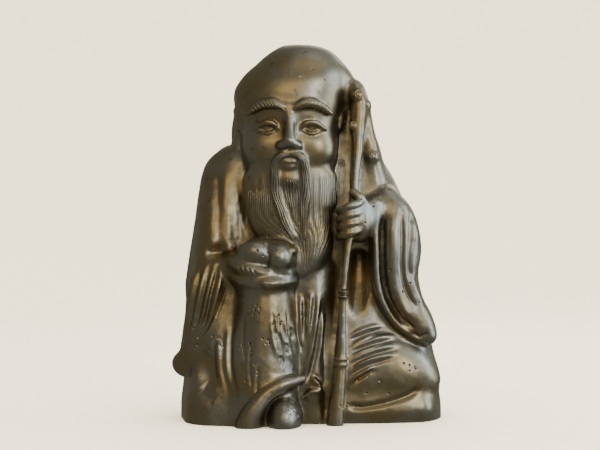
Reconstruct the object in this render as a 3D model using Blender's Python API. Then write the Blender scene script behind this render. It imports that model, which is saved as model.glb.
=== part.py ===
"""A bronze sage, half kneeling, with a long beard, a gnarled staff and a peach.

One hollow casting stands on its flat underside. The figure faces -Y, X runs to the viewer's
right and Z is up. Every place on it is a share of the figure's height: one share is a
hundredth of FIGURE_HEIGHT, so the pose and the carving keep their proportions.
"""

import math

import bmesh
import bpy
import numpy as np

# Sizes in metres
FIGURE_HEIGHT = 0.180
SHARE = FIGURE_HEIGHT / 100

# Sizes in shares of the height
CELL = 0.66  # spacing of the grid that the figure's form is worked out on
SKIN_CELL = 0.56  # spacing of the skin's own points before it is thinned
FACES_WANTED = 9800
FRONT_CARE = 1.8  # how much more the relief in front counts than the back when faces are thinned
HEAD_MIDDLE = -4.7
BELOW_FLOOR = 3.0  # the form runs on below the floor and is cut off flat there
STAFF_RING = 0.42  # how far the staff's rings stand out
CARVING = 1.45  # how many times as deep as drawn the folds are cut
BEARD_LOCKS = 8

# The shapes that the figure is made of
CLOTH, HEAD, EARS, SLEEVES, BEARD, LOCKS, HEM, PEACH, HANDS, STAFF = range(1, 11)

for thing in list(bpy.data.objects):
    bpy.data.objects.remove(thing, do_unlink=True)


def smooth_rows(rows, steps):
    """Rows of numbers turned into a smooth run of rows that passes through each of them."""
    rows = np.array(rows, float)
    ends = np.vstack([2 * rows[0] - rows[1], rows, 2 * rows[-1] - rows[-2]])
    out = []
    for a, b, c, d in zip(ends[:-3], ends[1:-2], ends[2:-1], ends[3:]):
        for i in range(steps):
            t = i / steps
            out.append(
                b + 0.5 * t * (c - a) + t * t * (a - 2.5 * b + 2 * c - 0.5 * d)
                + t * t * t * (1.5 * (b - c) + 0.5 * (d - a))
            )
    out.append(rows[-1])
    return np.array(out)


def soft_min(a, b, blend):
    near = np.maximum(blend - np.abs(a - b), 0) / blend
    return np.minimum(a, b) - near * near * blend / 4


def ramp(value, low, high):
    t = np.clip((value - low) / (high - low), 0, 1)
    return t * t * (3 - 2 * t)


class Form:
    """A solid held as a distance at each point of a grid: below zero inside, above zero outside."""

    def __init__(self, low, high, cell):
        self.cell = cell
        self.axes = [np.arange(a, b + cell, cell).astype(np.float32) for a, b in zip(low, high)]
        self.field = np.full([len(axis) for axis in self.axes], 9, np.float32)
        self.owner = np.zeros(self.field.shape, np.uint8)
        self.group = 0

    def window(self, low, high):
        cuts = tuple(
            slice(np.searchsorted(axis, a), np.searchsorted(axis, b))
            for axis, a, b in zip(self.axes, low, high)
        )
        places = np.ix_(*[axis[cut] for axis, cut in zip(self.axes, cuts)])
        return cuts, places

    def merge(self, cuts, distance, blend, cut=False):
        if cut:
            self.field[cuts] = -soft_min(-self.field[cuts], distance, blend)
        else:
            self.owner[cuts][distance < self.field[cuts]] = self.group
            self.field[cuts] = soft_min(self.field[cuts], distance, blend)

    def sample(self, values, points):
        """The grid's values read between its points."""
        spot = (points - [axis[0] for axis in self.axes]) / self.cell
        base = np.clip(np.floor(spot).astype(int), 0, np.array(values.shape) - 2)
        part = spot - base
        total = np.zeros(len(points))
        for i in (0, 1):
            for j in (0, 1):
                for k in (0, 1):
                    weight = np.prod(np.abs(part - (1 - i, 1 - j, 1 - k)), axis=1)
                    total += weight * values[base[:, 0] + i, base[:, 1] + j, base[:, 2] + k]
        return total

    def belongs(self, points, groups):
        """How far each point lies on these groups' shapes, from 0 to 1."""
        return self.sample(np.isin(self.owner, groups).astype(np.float32), points)

    def settle(self, points):
        """Moves the points onto the surface itself, off the steps of the grid."""
        for _ in range(2):
            slope = np.stack(
                [
                    self.sample(self.field, points + offset) - self.sample(self.field, points - offset)
                    for offset in np.eye(3) * self.cell
                ], 1,
            ) / (2 * self.cell)
            step = self.sample(self.field, points) / np.maximum((slope**2).sum(1), 0.25)
            points = points - slope * np.clip(step, -0.3 * self.cell, 0.3 * self.cell)[:, None]
        return points

    def ball(self, centre, radii, blend=1.5, tilt=0, cut=False):
        """An ellipsoid, leaning by tilt degrees in the front view."""
        reach = max(radii) + blend + self.cell
        cuts, (x, y, z) = self.window([c - reach for c in centre], [c + reach for c in centre])
        x, y, z = x - centre[0], y - centre[1], z - centre[2]
        turn, lean = math.cos(math.radians(tilt)), math.sin(math.radians(tilt))
        x, z = x * turn + z * lean, z * turn - x * lean
        near = np.sqrt((x / radii[0]) ** 2 + (y / radii[1]) ** 2 + (z / radii[2]) ** 2)
        slope = np.sqrt(
            (x / radii[0] ** 2) ** 2 + (y / radii[1] ** 2) ** 2 + (z / radii[2] ** 2) ** 2
        )
        distance = near * (near - 1) / np.maximum(slope, 1e-4)
        self.merge(cuts, distance, blend, cut)

    def limb(self, rows, blend=1.5, steps=5, cut=False):
        """A limb along a smooth path. Each row is x, y, z, half the width and half the depth."""
        rows = smooth_rows(rows, steps)
        rows = rows[np.r_[True, np.linalg.norm(np.diff(rows[:, :3], axis=0), axis=1) > 1e-6]]
        reach = rows[:, 3:].max() + blend + self.cell
        cuts, (x, y, z) = self.window(rows[:, :3].min(0) - reach, rows[:, :3].max(0) + reach)
        best = np.full(np.broadcast_shapes(x.shape, y.shape, z.shape), 9, np.float32)
        # Each row's own way along the path, towards the viewer and across
        along = np.gradient(rows[:, :3], axis=0)
        along /= np.linalg.norm(along, axis=1)[:, None]
        facing = along * along[:, 1:2] + (0, -1.0, 0)
        facing /= np.linalg.norm(facing, axis=1)[:, None]
        across = np.cross(along, facing)
        for k in range(len(rows) - 1):
            a, b = rows[k], rows[k + 1]
            gap = b[:3] - a[:3]
            span = max(a[3:].max(), b[3:].max()) + blend + self.cell
            low = np.minimum(a[:3], b[:3]) - span
            high = np.maximum(a[:3], b[:3]) + span
            part = tuple(
                slice(np.searchsorted(axis.ravel(), p), np.searchsorted(axis.ravel(), q))
                for axis, p, q in zip((x, y, z), low, high)
            )
            off = (x[part[0]] - a[0], y[:, part[1]] - a[1], z[:, :, part[2]] - a[2])
            start = sum(d * n for d, n in zip(off, along[k]))
            end = sum(d * n for d, n in zip(off, along[k + 1])) - gap @ along[k + 1]
            t = start / np.maximum(start - end, 0.25 * np.linalg.norm(gap))
            past = np.where(t < 0, start, np.where(t > 1, end, 0))
            t = np.clip(t, 0, 1)
            width = a[3] + t * (b[3] - a[3])
            depth = a[4] + t * (b[4] - a[4])
            side = front = 0
            for d, g, w0, w1, f0, f1 in zip(
                off, gap, across[k], across[k + 1], facing[k], facing[k + 1]
            ):
                from_path = d - t * g
                side = side + from_path * (w0 + t * (w1 - w0))
                front = front + from_path * (f0 + t * (f1 - f0))
            least = np.minimum(width, depth)
            near = np.sqrt((side / width) ** 2 + (front / depth) ** 2 + (past / least) ** 2)
            slope = np.sqrt(
                (side / width**2) ** 2 + (front / depth**2) ** 2 + (past / least**2) ** 2
            )
            best[part] = np.minimum(best[part], near * (near - 1) / np.maximum(slope, 1e-4))
        self.merge(cuts, best, blend, cut)

    def stack(self, rows, power=2.4, blend=1.5):
        """A body of level sections. Each row is z, left, right, front, back."""
        rows = smooth_rows(rows, 6)
        low = (rows[:, 1].min() - 3, rows[:, 3].min() - 3, rows[0, 0] - 3)
        high = (rows[:, 2].max() + 3, rows[:, 4].max() + 3, rows[-1, 0] + 3)
        cuts, (x, y, z) = self.window(low, high)
        left, right, front, back = (
            np.interp(z, rows[:, 0], rows[:, k]).astype(np.float32) for k in range(1, 5)
        )
        middle, half = (left + right) / 2, (right - left) / 2
        core = front + 0.55 * (back - front)
        deep = np.where(y < core, core - front, back - core)
        across, along = np.abs(x - middle) / half, np.abs(y - core) / deep
        near = np.maximum(across**power + along**power, 1e-6) ** (1 / power)
        slope = near ** (1 - power) * np.sqrt(
            (across ** (power - 1) / half) ** 2 + (along ** (power - 1) / deep) ** 2
        )
        distance = (near - 1) / np.maximum(slope, 0.02)
        distance = np.maximum(distance, z - rows[-1, 0])
        distance = np.maximum(distance, rows[0, 0] - z)
        self.merge(cuts, np.minimum(distance, 9).astype(np.float32), blend)

    def untangle(self):
        """Closes the spots where two walls would meet only along an edge."""
        for _ in range(4):
            for axis in range(3):
                turned = np.moveaxis(self.field, axis, 0)
                a, b = turned[:, :-1, :-1], turned[:, 1:, :-1]
                c, d = turned[:, :-1, 1:], turned[:, 1:, 1:]
                b[(a < 0) & (d < 0) & (b >= 0) & (c >= 0)] = -0.02
                a[(a >= 0) & (d >= 0) & (b < 0) & (c < 0)] = -0.02

    def skin(self):
        """The points and four-sided faces of the surface where the distance is zero."""
        self.field = np.round(self.field, 4) + 1e-5
        self.untangle()
        field = self.field
        inside = field < 0
        nx, ny, nz = field.shape
        corner = [(i, j, k) for i in (0, 1) for j in (0, 1) for k in (0, 1)]
        total = sum(
            inside[i : nx - 1 + i, j : ny - 1 + j, k : nz - 1 + k].astype(np.int8)
            for i, j, k in corner
        )
        cells = np.argwhere((total > 0) & (total < 8))
        number = np.full((nx - 1, ny - 1, nz - 1), -1, np.int64)
        number[tuple(cells.T)] = np.arange(len(cells))
        sums, counts = np.zeros((len(cells), 3)), np.zeros(len(cells))
        for i, j, k in corner:
            for axis in range(3):
                if (i, j, k)[axis]:
                    continue
                start = cells + (i, j, k)
                end = start.copy()
                end[:, axis] += 1
                a, b = field[tuple(start.T)], field[tuple(end.T)]
                crossed = (a < 0) != (b < 0)
                t = a / np.where(crossed, a - b, 1)
                place = start.astype(float)
                place[:, axis] += t
                sums[crossed] += place[crossed]
                counts += crossed
        points = sums / counts[:, None] * self.cell + [axis[0] for axis in self.axes]
        points = self.settle(points)
        faces = []
        for axis in range(3):
            one, two = (axis + 1) % 3, (axis + 2) % 3
            ahead = np.moveaxis(inside, (axis, one, two), (0, 1, 2))
            mark = np.moveaxis(number, (axis, one, two), (0, 1, 2))
            change = ahead[:-1, 1:-1, 1:-1] != ahead[1:, 1:-1, 1:-1]
            i, j, k = np.nonzero(change)
            quad = np.stack(
                [mark[i, j, k], mark[i, j + 1, k], mark[i, j + 1, k + 1], mark[i, j, k + 1]], 1
            )
            leaving = ahead[i, j + 1, k + 1]
            quad[~leaving] = quad[~leaving][:, ::-1]
            faces.append(quad)
        return points, np.vstack(faces)


class Relief:
    """Carving drawn in one view: how far the skin stands out at each point.

    The view is two of the axes: 0 and 2 for the front or the back, 1 and 2 for a side.
    """

    def __init__(self, points, view=(0, 2)):
        self.x, self.z = points[:, view[0]], points[:, view[1]]
        self.height = np.zeros(len(points))

    def track(self, rows, steps=5):
        """The points near a path: which they are, how far across it and how far along it."""
        rows = smooth_rows(rows, steps)
        reach = 5 * rows[:, 2].max()
        low, high = rows[:, :2].min(0) - reach, rows[:, :2].max(0) + reach
        near = np.nonzero(
            (self.x > low[0]) & (self.x < high[0]) & (self.z > low[1]) & (self.z < high[1])
        )[0]
        x, z = self.x[near], self.z[near]
        across, along = np.full(len(near), 9.0), np.zeros(len(near))
        for k, (a, b) in enumerate(zip(rows[:-1], rows[1:])):
            dx, dz = b[0] - a[0], b[1] - a[1]
            length = max(math.hypot(dx, dz), 1e-6)
            t = np.clip(((x - a[0]) * dx + (z - a[1]) * dz) / length**2, 0, 1)
            width = a[2] + t * (b[2] - a[2])
            off_x, off_z = x - a[0] - t * dx, z - a[1] - t * dz
            away = np.hypot(off_x, off_z) / width
            closer = away < np.abs(across)
            side = np.where(dx * off_z - dz * off_x < 0, -1, 1)
            across[closer] = (away * side)[closer]
            along[closer] = ((k + t) / (len(rows) - 1))[closer]
        return near, across, along

    def line(self, rows, rise):
        """A ridge, or a groove where rise is below zero. Each row is x, z and half the width."""
        near, across, along = self.track(rows)
        fade = ramp(along, -0.02, 0.14) * (1 - ramp(along, 0.86, 1.02))
        self.height[near] += rise * fade * np.exp(-(across**2))

    def fold(self, rows, rise, lean=1):
        """A fold of cloth that dies out at both ends, undercut on its left or right side."""
        near, across, along = self.track(rows)
        fade = ramp(along, 0, 0.2) * (1 - ramp(along, 0.72, 1))
        ridge = np.exp(-(across**2))
        under = np.exp(-(((across * lean - 1.5) / 0.75) ** 2))
        self.height[near] += rise * fade * (ridge - 0.75 * under)

    def pleats(self, rows, count, depth, upright=True, ends=2.0, sharp=0.8):
        """Parallel folds between two edges. Each row is a place along the folds and both edges."""
        rows = smooth_rows(rows, 5)
        run, cross = (self.z, self.x) if upright else (self.x, self.z)
        order = np.argsort(rows[:, 0])
        place = rows[order]
        one = np.interp(run, place[:, 0], place[:, 1])
        two = np.interp(run, place[:, 0], place[:, 2])
        s = (cross - one) / (two - one)
        fade = ramp(run, place[0, 0] - ends, place[0, 0] + ends)
        fade = fade * (1 - ramp(run, place[-1, 0] - ends, place[-1, 0] + ends))
        fade = fade * ramp(s, 0, 0.1) * (1 - ramp(s, 0.9, 1))
        wave = np.abs(np.sin(math.pi * count * np.clip(s, 0, 1))) ** sharp
        self.height += depth * (wave - 0.7) * fade


def mirrored(rows):
    """The same rows on the other side of the head."""
    return [(2 * HEAD_MIDDLE - row[0],) + tuple(row[1:]) for row in rows]


def robe(form):
    """The seated body in its robe, from the base to the shoulders."""
    form.stack(
        (
            (-4, -34.0, 36.2, -14.2, 17.0), (3, -34.3, 36.3, -14.6, 17.2),
            (9, -33.8, 35.4, -14.0, 17.2), (16, -33.0, 34.4, -13.2, 17.0),
            (22, -32.6, 33.0, -12.4, 16.8), (29, -32.6, 30.0, -11.6, 16.4),
            (38, -31.8, 27.0, -10.6, 15.8), (46, -30.6, 27.2, -10.2, 15.2),
            (54, -29.4, 26.3, -9.7, 14.5), (61, -28.8, 24.0, -9.0, 13.6),
            (66.5, -28.0, 21.4, -8.0, 12.4), (70, -25.5, 19.0, -6.5, 10.8),
            (73, -18.8, 15.5, -4.5, 8.0),
        ),
        power=3.0,
    )
    # The right upper arm and shoulder, on the viewer's left
    form.limb(
        (
            (-19.5, 1.0, 66.5, 7.0, 8.5), (-22.8, -0.8, 57, 6.6, 9.7),
            (-23.6, -2.6, 46, 6.8, 10.2), (-24.4, -2, 36, 7.2, 9.2),
        ),
        blend=3,
    )
    # The left shoulder, sloping up to the staff
    form.limb(((19, 1, 58, 6.5, 9), (15.5, 1.5, 66, 5.5, 8), (11, 2, 73, 5, 7)), blend=3)
    # Rounded back, and the collar round the neck
    form.limb(((-2.5, 4, 60, 15, 11.4), (-2.0, 5, 44, 19, 12.6), (0, 5.4, 26, 23, 12.6),
               (1, 5, 8, 26, 12.8)), blend=4)
    form.limb(
        (
            (-17.8, -2.0, 66.0, 1.4, 1.8), (-18.0, 3.0, 68.4, 1.4, 1.8), (-13.8, 9.4, 69.8, 1.5, 1.8),
            (-4.7, 11.8, 70.2, 1.5, 1.8), (5.2, 9.4, 69.8, 1.5, 1.8), (10.0, 3.0, 68.4, 1.4, 1.8),
        ),
        blend=1.0,
    )


def legs(form):
    """The raised right knee with its shin, and the left leg folded flat beside it."""
    form.limb(
        (
            (-10.8, -12.2, 35.0, 7.4, 7.2), (-10.8, -12.8, 28, 8.0, 8.2),
            (-11.2, -13.0, 16, 9.2, 9.0), (-12.0, -13.2, 6, 10.0, 9.6),
            (-12.5, -13.2, -4, 10.5, 10.4),
        ),
        blend=2.5,
    )
    form.limb(
        ((-20, -5, 33, 7, 8), (-22.5, -7, 20, 7.5, 9), (-23.5, -8.5, 8, 8.5, 10.2),
         (-24, -8.5, -4, 8.8, 10.6)),
        blend=3,
    )
    # Roll of cloth over the knee, under the hand
    form.limb(((-18.0, -9.4, 37.4, 2.2, 4.0), (-15.0, -14.6, 36.8, 2.2, 4.6),
               (-9.8, -17.2, 36.6, 2.1, 4.6), (-5.2, -13.4, 37.0, 1.9, 4.0)), blend=1.8)
    # Folded leg: thigh and calf as one broad roll, then the knee at the viewer's right
    form.limb(
        (
            (8, -7.0, 12.0, 9.8, 7.6), (17, -6.8, 13.0, 11.0, 7.8),
            (25, -6.2, 12.0, 9.4, 7.8), (29.2, -4.6, 10.8, 6.2, 7.2),
        ),
        blend=2.5,
    )
    form.limb(((9, -8.2, 3.6, 5.0, 6.4), (20, -8.0, 3.4, 5.0, 6.6), (29, -6.4, 3.4, 4.8, 7.0)), blend=2.5)
    # Cloth hanging between the legs, with the knot of its cord
    form.limb(
        ((1.6, -9.4, 40, 5.4, 4.0), (1.4, -10.8, 28, 4.8, 4.2), (0.9, -11.6, 14, 4.2, 4.2),
         (2.4, -11.2, -4, 4.4, 4.2)),
        blend=2.4,
    )
    form.ball((-3.0, -14.6, 19.6), (1.15, 1.3, 1.25), blend=0.5)
    form.ball((-3.4, -11.4, 42.4), (3.4, 4.2, 4.6), blend=1.6)
    form.ball((1.6, -13.6, 8.8), (3.6, 3.0, 3.2), blend=2.2)


def hem_and_shoe(form):
    """The robe's edge arching over the right shoe."""
    form.ball((-6.6, -24.0, 1.5), (5.4, 5.5, 8.6), blend=1.0, cut=True)
    form.limb(
        (
            (-15.6, -22.0, -4, 3.0, 2.8), (-15.3, -22.4, 1.0, 2.9, 2.7),
            (-13.2, -22.4, 5.0, 2.5, 2.4), (-10.4, -21.8, 8.4, 2.1, 2.2),
            (-6.4, -21.0, 10.8, 1.8, 2.0), (-1.8, -18.4, 12.0, 1.4, 1.8),
        ),
        blend=0.9,
    )
    form.ball((-6.1, -17.0, 1.8), (4.7, 9.2, 6.1), blend=0.7)


def right_sleeve(form):
    """The sleeve that hangs from the forearm on the viewer's left."""
    form.limb(
        (
            (-23.4, -7.4, 42.4, 5.4, 6.8), (-25.4, -8.4, 34.6, 6.2, 6.8),
            (-27.4, -8.6, 26, 5.2, 6.0), (-30.0, -8.2, 19.0, 3.6, 4.8),
            (-31.9, -7.4, 14.8, 2.7, 3.2),
        ),
        blend=1.8,
    )
    form.ball((-32.6, -7.2, 14.8), (3.4, 3.6, 3.0), blend=1.4, tilt=-30)
    # Hollows under the sleeve's corner and over the forearm
    form.ball((-27.0, -17.6, 15.0), (3.0, 3.2, 5.2), blend=3.0, tilt=14, cut=True)
    form.ball((-22.8, -13.6, 44.4), (3.4, 3.0, 1.7), blend=2.2, cut=True)


def peach(form):
    """A peach of two lobes, with a leaf at its side."""
    form.ball((-13.4, -15.0, 44.5), (5.2, 5.7, 3.9), blend=1.0)
    form.ball((-7.4, -15.6, 43.2), (4.1, 5.9, 4.4), blend=0.9)
    form.ball((-3.9, -16.6, 45.0), (1.2, 2.4, 1.3), blend=0.5, tilt=30)


def right_hand(form):
    """The right hand, cupped under the peach on the raised knee."""
    form.limb(((-22.8, -9.0, 40.6, 3.2, 3.8), (-18.8, -12.0, 40.0, 3.2, 4.2),
               (-12.0, -13.6, 39.2, 2.6, 4.8)), blend=1.6)
    form.limb(((-19.4, -11.0, 42.6, 2.0, 2.6), (-17.8, -14.8, 41.2, 2.2, 3.6),
               (-14.4, -17.0, 40.0, 2.0, 3.8), (-10.4, -17.0, 39.2, 1.4, 3.4)), blend=1.6)
    form.ball((-8.0, -14.6, 39.4), (5.0, 4.6, 2.4), blend=1.4)


def staff(form):
    """The staff, standing against the robe: bamboo below, gnarled root above."""
    path = (
        (6.8, -17.4, -4, 2.4, 2.5), (7.4, -17.4, 4, 2.0, 2.2), (8.4, -17.0, 14, 1.6, 1.8),
        (8.9, -16.6, 24, 1.15, 1.5), (9.2, -16.2, 34, 0.95, 1.35), (9.9, -15.8, 42, 1.0, 1.35),
        (11.0, -15.0, 50, 1.1, 1.4), (12.2, -13.4, 58, 1.0, 1.3), (12.6, -11.6, 65, 1.1, 1.4),
        (13.2, -10.0, 71, 1.4, 1.7), (13.5, -8.8, 79, 1.9, 2.2), (13.7, -7.6, 84, 2.1, 2.4),
        (13.0, -6.6, 87.8, 1.6, 2.0),
    )
    backing = [(x, y + 2.4, z, w * 0.8, d + 0.8) for x, y, z, w, d in path]
    form.limb(backing, blend=1.4)
    form.limb(path, blend=0.6)
    for z, x, size in ((15.6, 8.5, 1.75), (17.0, 8.6, 1.7), (33.2, 9.15, 1.1), (34.5, 9.2, 1.05)):
        form.ball((x, -16.6, z), (size + STAFF_RING, 2.0 + STAFF_RING, 0.5), blend=0.4)
    # Web of metal between the staff and the head, and the root's slope behind
    form.limb(((11.5, -1, 66, 4, 5), (11, -0.5, 78, 4, 5), (10.5, -1, 86, 3.6, 4)), blend=2)
    form.limb(((4.5, -2.5, 94, 3.6, 5), (8.6, -3, 90.6, 3.4, 4.6), (11.6, -3.6, 86.4, 3.2, 4)), blend=2)
    form.limb(
        ((18.4, -2.4, 61, 3.6, 5.4), (16.9, -3.6, 70, 3.0, 4.4), (15.5, -4.0, 77, 2.4, 3.6),
         (14.6, -4.4, 84, 2.1, 3.0), (13.0, -5, 88.2, 1.8, 2.4)),
        blend=1.4,
    )
    form.ball((17.3, -7.4, 69.6), (1.7, 1.5, 1.7), blend=0.6)
    form.ball((15.7, -6.4, 83.4), (1.4, 1.7, 1.6), blend=0.6)
    form.ball((13.3, -8.8, 85.8), (1.9, 1.8, 1.9), blend=0.7)
    form.ball((11.9, -10.2, 77.6), (1.1, 1.2, 1.3), blend=0.5)


def staff_hand(form):
    """The left hand, its four fingers closed round the staff."""
    form.limb(((17.6, -8, 55.4, 3.8, 4.6), (14.8, -11.4, 54, 3.8, 4.0)), blend=1.6)
    form.ball((13.7, -12.8, 52.6), (3.2, 4.5, 5.7), blend=1.3)
    for step in range(4):
        z = 48.4 + 2.3 * step
        form.limb(
            ((13.2, -16.2, z + 2.0, 1.15, 1.2), (11.2, -17.9, z + 1.3, 1.2, 1.25),
             (9.3, -17.3, z + 0.5, 1.1, 1.2), (8.3, -14.6, z, 1.0, 1.1)),
            blend=0.5,
        )
    form.limb(((15.2, -13.4, 56.6, 1.3, 1.4), (13.6, -15.2, 58.8, 1.2, 1.3),
               (11.6, -14.8, 60.2, 1.0, 1.1)), blend=0.6)


def left_sleeve(form):
    """The broad sleeve on the viewer's right, ending in a rounded corner."""
    form.limb(
        (
            (21.2, -6.0, 58.2, 3.8, 4.8), (23.4, -6.8, 53, 5.2, 6.0),
            (24.2, -7.4, 46, 6.0, 6.6), (24.0, -7.6, 38.5, 5.4, 6.2),
            (25.6, -7.8, 31.5, 5.0, 5.8), (29.0, -8.0, 25.8, 4.4, 5.0),
            (31.6, -8.0, 22.6, 2.8, 3.8),
        ),
        blend=1.4,
    )
    # Arched recess beside the staff, then the rolled edge of the sleeve's opening
    form.limb(((13.8, -13.2, 43.2, 2.5, 8.4), (13.7, -13.2, 38, 2.8, 7.4),
               (13.5, -13.2, 32, 2.8, 4.4), (13.2, -13.6, 27.0, 2.2, 1.4)), blend=0.8, cut=True)
    form.limb(
        (
            (17.4, -9.8, 57, 1.8, 3.6), (17.7, -10.6, 50, 1.5, 3.6), (17.9, -10.8, 44, 1.4, 3.6),
            (18.1, -10.8, 38, 1.4, 3.5), (19.3, -10.6, 32.4, 1.4, 3.3), (22.4, -10.2, 26.9, 1.3, 2.9),
            (26.2, -9.8, 23.5, 1.2, 2.6), (29.2, -9.2, 21.9, 1.1, 2.2),
        ),
        blend=1.0,
    )


def beard(form):
    """The beard: broad and smooth on the chest, then one long lock that ends beside the hand."""
    form.limb(
        (
            (-4.7, -10.6, 64.0, 12.4, 4.6), (-4.4, -11.0, 58.5, 12.4, 4.2),
            (-3.6, -11.2, 54.0, 11.4, 3.9), (-1.6, -11.4, 50.0, 8.8, 3.8),
            (0.6, -11.6, 46.4, 6.0, 3.7), (0.6, -12.0, 43.0, 3.8, 3.3),
            (-0.8, -12.6, 39.8, 1.6, 2.4),
        ),
        blend=1.6,
    )


def moustache(form):
    """Two long locks that fall from under the nose onto the beard."""
    lock = (
        (-5.3, -16.8, 70.4, 0.7, 0.8), (-7.2, -16.8, 70.0, 0.9, 1.0), (-9.0, -16.0, 67.8, 1.1, 1.0),
        (-9.6, -15.2, 63.6, 1.1, 0.9), (-9.0, -14.8, 58.6, 1.0, 0.8),
        (-7.6, -14.8, 53.6, 0.6, 0.6),
    )
    form.limb(lock, blend=0.7)
    form.limb(mirrored(lock), blend=0.7)


def head(form):
    """A calm, regular face under a high bald dome."""
    form.stack(
        (
            (58, -14.5, 5.1, -12.4, 5.0), (62, -16.2, 6.8, -14.0, 8.0),
            (67, -17.4, 8.0, -15.2, 10.6), (73, -18.2, 8.8, -15.7, 12.2),
            (79, -18.8, 9.4, -15.8, 12.9), (85, -19.8, 10.6, -15.9, 13.0),
            (88, -19.5, 11.3, -15.5, 12.7), (90.4, -18.1, 11.5, -14.7, 11.9),
            (92.6, -16.2, 11.0, -13.5, 10.8), (94.6, -13.9, 9.8, -12.0, 9.3),
            (96.6, -11.8, 8.3, -9.8, 7.3), (98.4, -9.3, 6.2, -7.4, 5.0),
            (99.5, -7.4, 3.8, -5.2, 2.8), (100, -6.2, 1.6, -3.6, 1.4),
        ),
        power=2.25,
        blend=1.2,
    )
    middle = HEAD_MIDDLE
    # Eyes half way down the head, nose and mouth on regular thirds of the face
    for side in (-1, 1):
        def at(across, y, z, *rest):
            return (middle + side * across, y, z) + rest

        form.ball(at(6.8, -10.9, 71.6), (4.6, 4.2, 4.4), blend=4)
        form.ball(at(5.9, -18.0, 77.2), (4.2, 3.1, 2.7), blend=1.8, cut=True)
        form.ball(at(5.9, -12.4, 77.2), (2.9, 2.8, 2.2), blend=0.4)
        form.limb((at(2.8, -15.0, 76.8, 0.4, 0.6), at(4.2, -15.6, 78.3, 0.5, 0.7),
                   at(6.4, -15.5, 78.7, 0.55, 0.7), at(9.3, -13.8, 76.9, 0.4, 0.6)), blend=0.4)
        form.limb((at(3.0, -14.8, 76.6, 0.35, 0.5), at(5.9, -15.1, 75.4, 0.4, 0.6),
                   at(9.0, -13.8, 76.7, 0.35, 0.5)), blend=0.4)
        form.limb((at(1.9, -15.9, 81.2, 0.9, 1.0), at(4.4, -16.0, 82.9, 1.4, 1.1),
                   at(7.6, -15.1, 83.0, 1.3, 1.1), at(10.8, -13.2, 81.2, 0.7, 0.9)), blend=0.8)
        form.ball(at(2.0, -16.6, 72.2), (1.4, 1.7, 1.15), blend=0.8)
    form.limb(((middle, -14.8, 82.0, 1.5, 1.5), (middle, -16.3, 77, 1.2, 1.6),
               (middle, -18.0, 73.2, 1.7, 1.8)), blend=1.4)
    # Mouth and chin
    form.ball((middle, -13.2, 68.4), (4.8, 3.2, 3.6), blend=2.2)
    form.ball((middle, -13.6, 63.6), (3.6, 2.8, 2.3), blend=1.6)
    form.limb(((middle - 3.2, -15.2, 67.5, 0.3, 0.5), (middle - 1.1, -16.2, 68.1, 0.6, 0.7),
               (middle, -16.3, 67.95, 0.55, 0.7), (middle + 1.1, -16.2, 68.1, 0.6, 0.7),
               (middle + 3.2, -15.2, 67.5, 0.3, 0.5)), blend=0.3)
    form.limb(((middle - 2.8, -15.2, 67.2, 0.3, 0.5), (middle, -16.1, 66.75, 0.75, 0.7),
               (middle + 2.8, -15.2, 67.2, 0.3, 0.5)), blend=0.3)


def ears(form):
    """Long ears, flat against the head, with heavy lobes."""
    rim = (
        (-17.9, -6.4, 77.4, 0.8, 1.0), (-18.2, -6.2, 80.2, 0.9, 1.1), (-18.6, -4.2, 82.0, 0.9, 1.2),
        (-19.0, -1.8, 80.9, 0.9, 1.2), (-19.5, -0.8, 77.0, 0.9, 1.2), (-19.4, -2.0, 72.0, 0.9, 1.2),
        (-18.8, -4.0, 67.4, 1.2, 1.7),
        (-18.6, -4.6, 65.0, 1.2, 1.6),
    )
    form.limb(rim, blend=0.7)
    form.limb(mirrored(rim), blend=0.7)
    for side in (-1, 1):
        x = HEAD_MIDDLE + side * 13.8
        form.ball((x, -3.0, 74.5), (1.2, 2.6, 7.0), blend=0.8)


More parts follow.
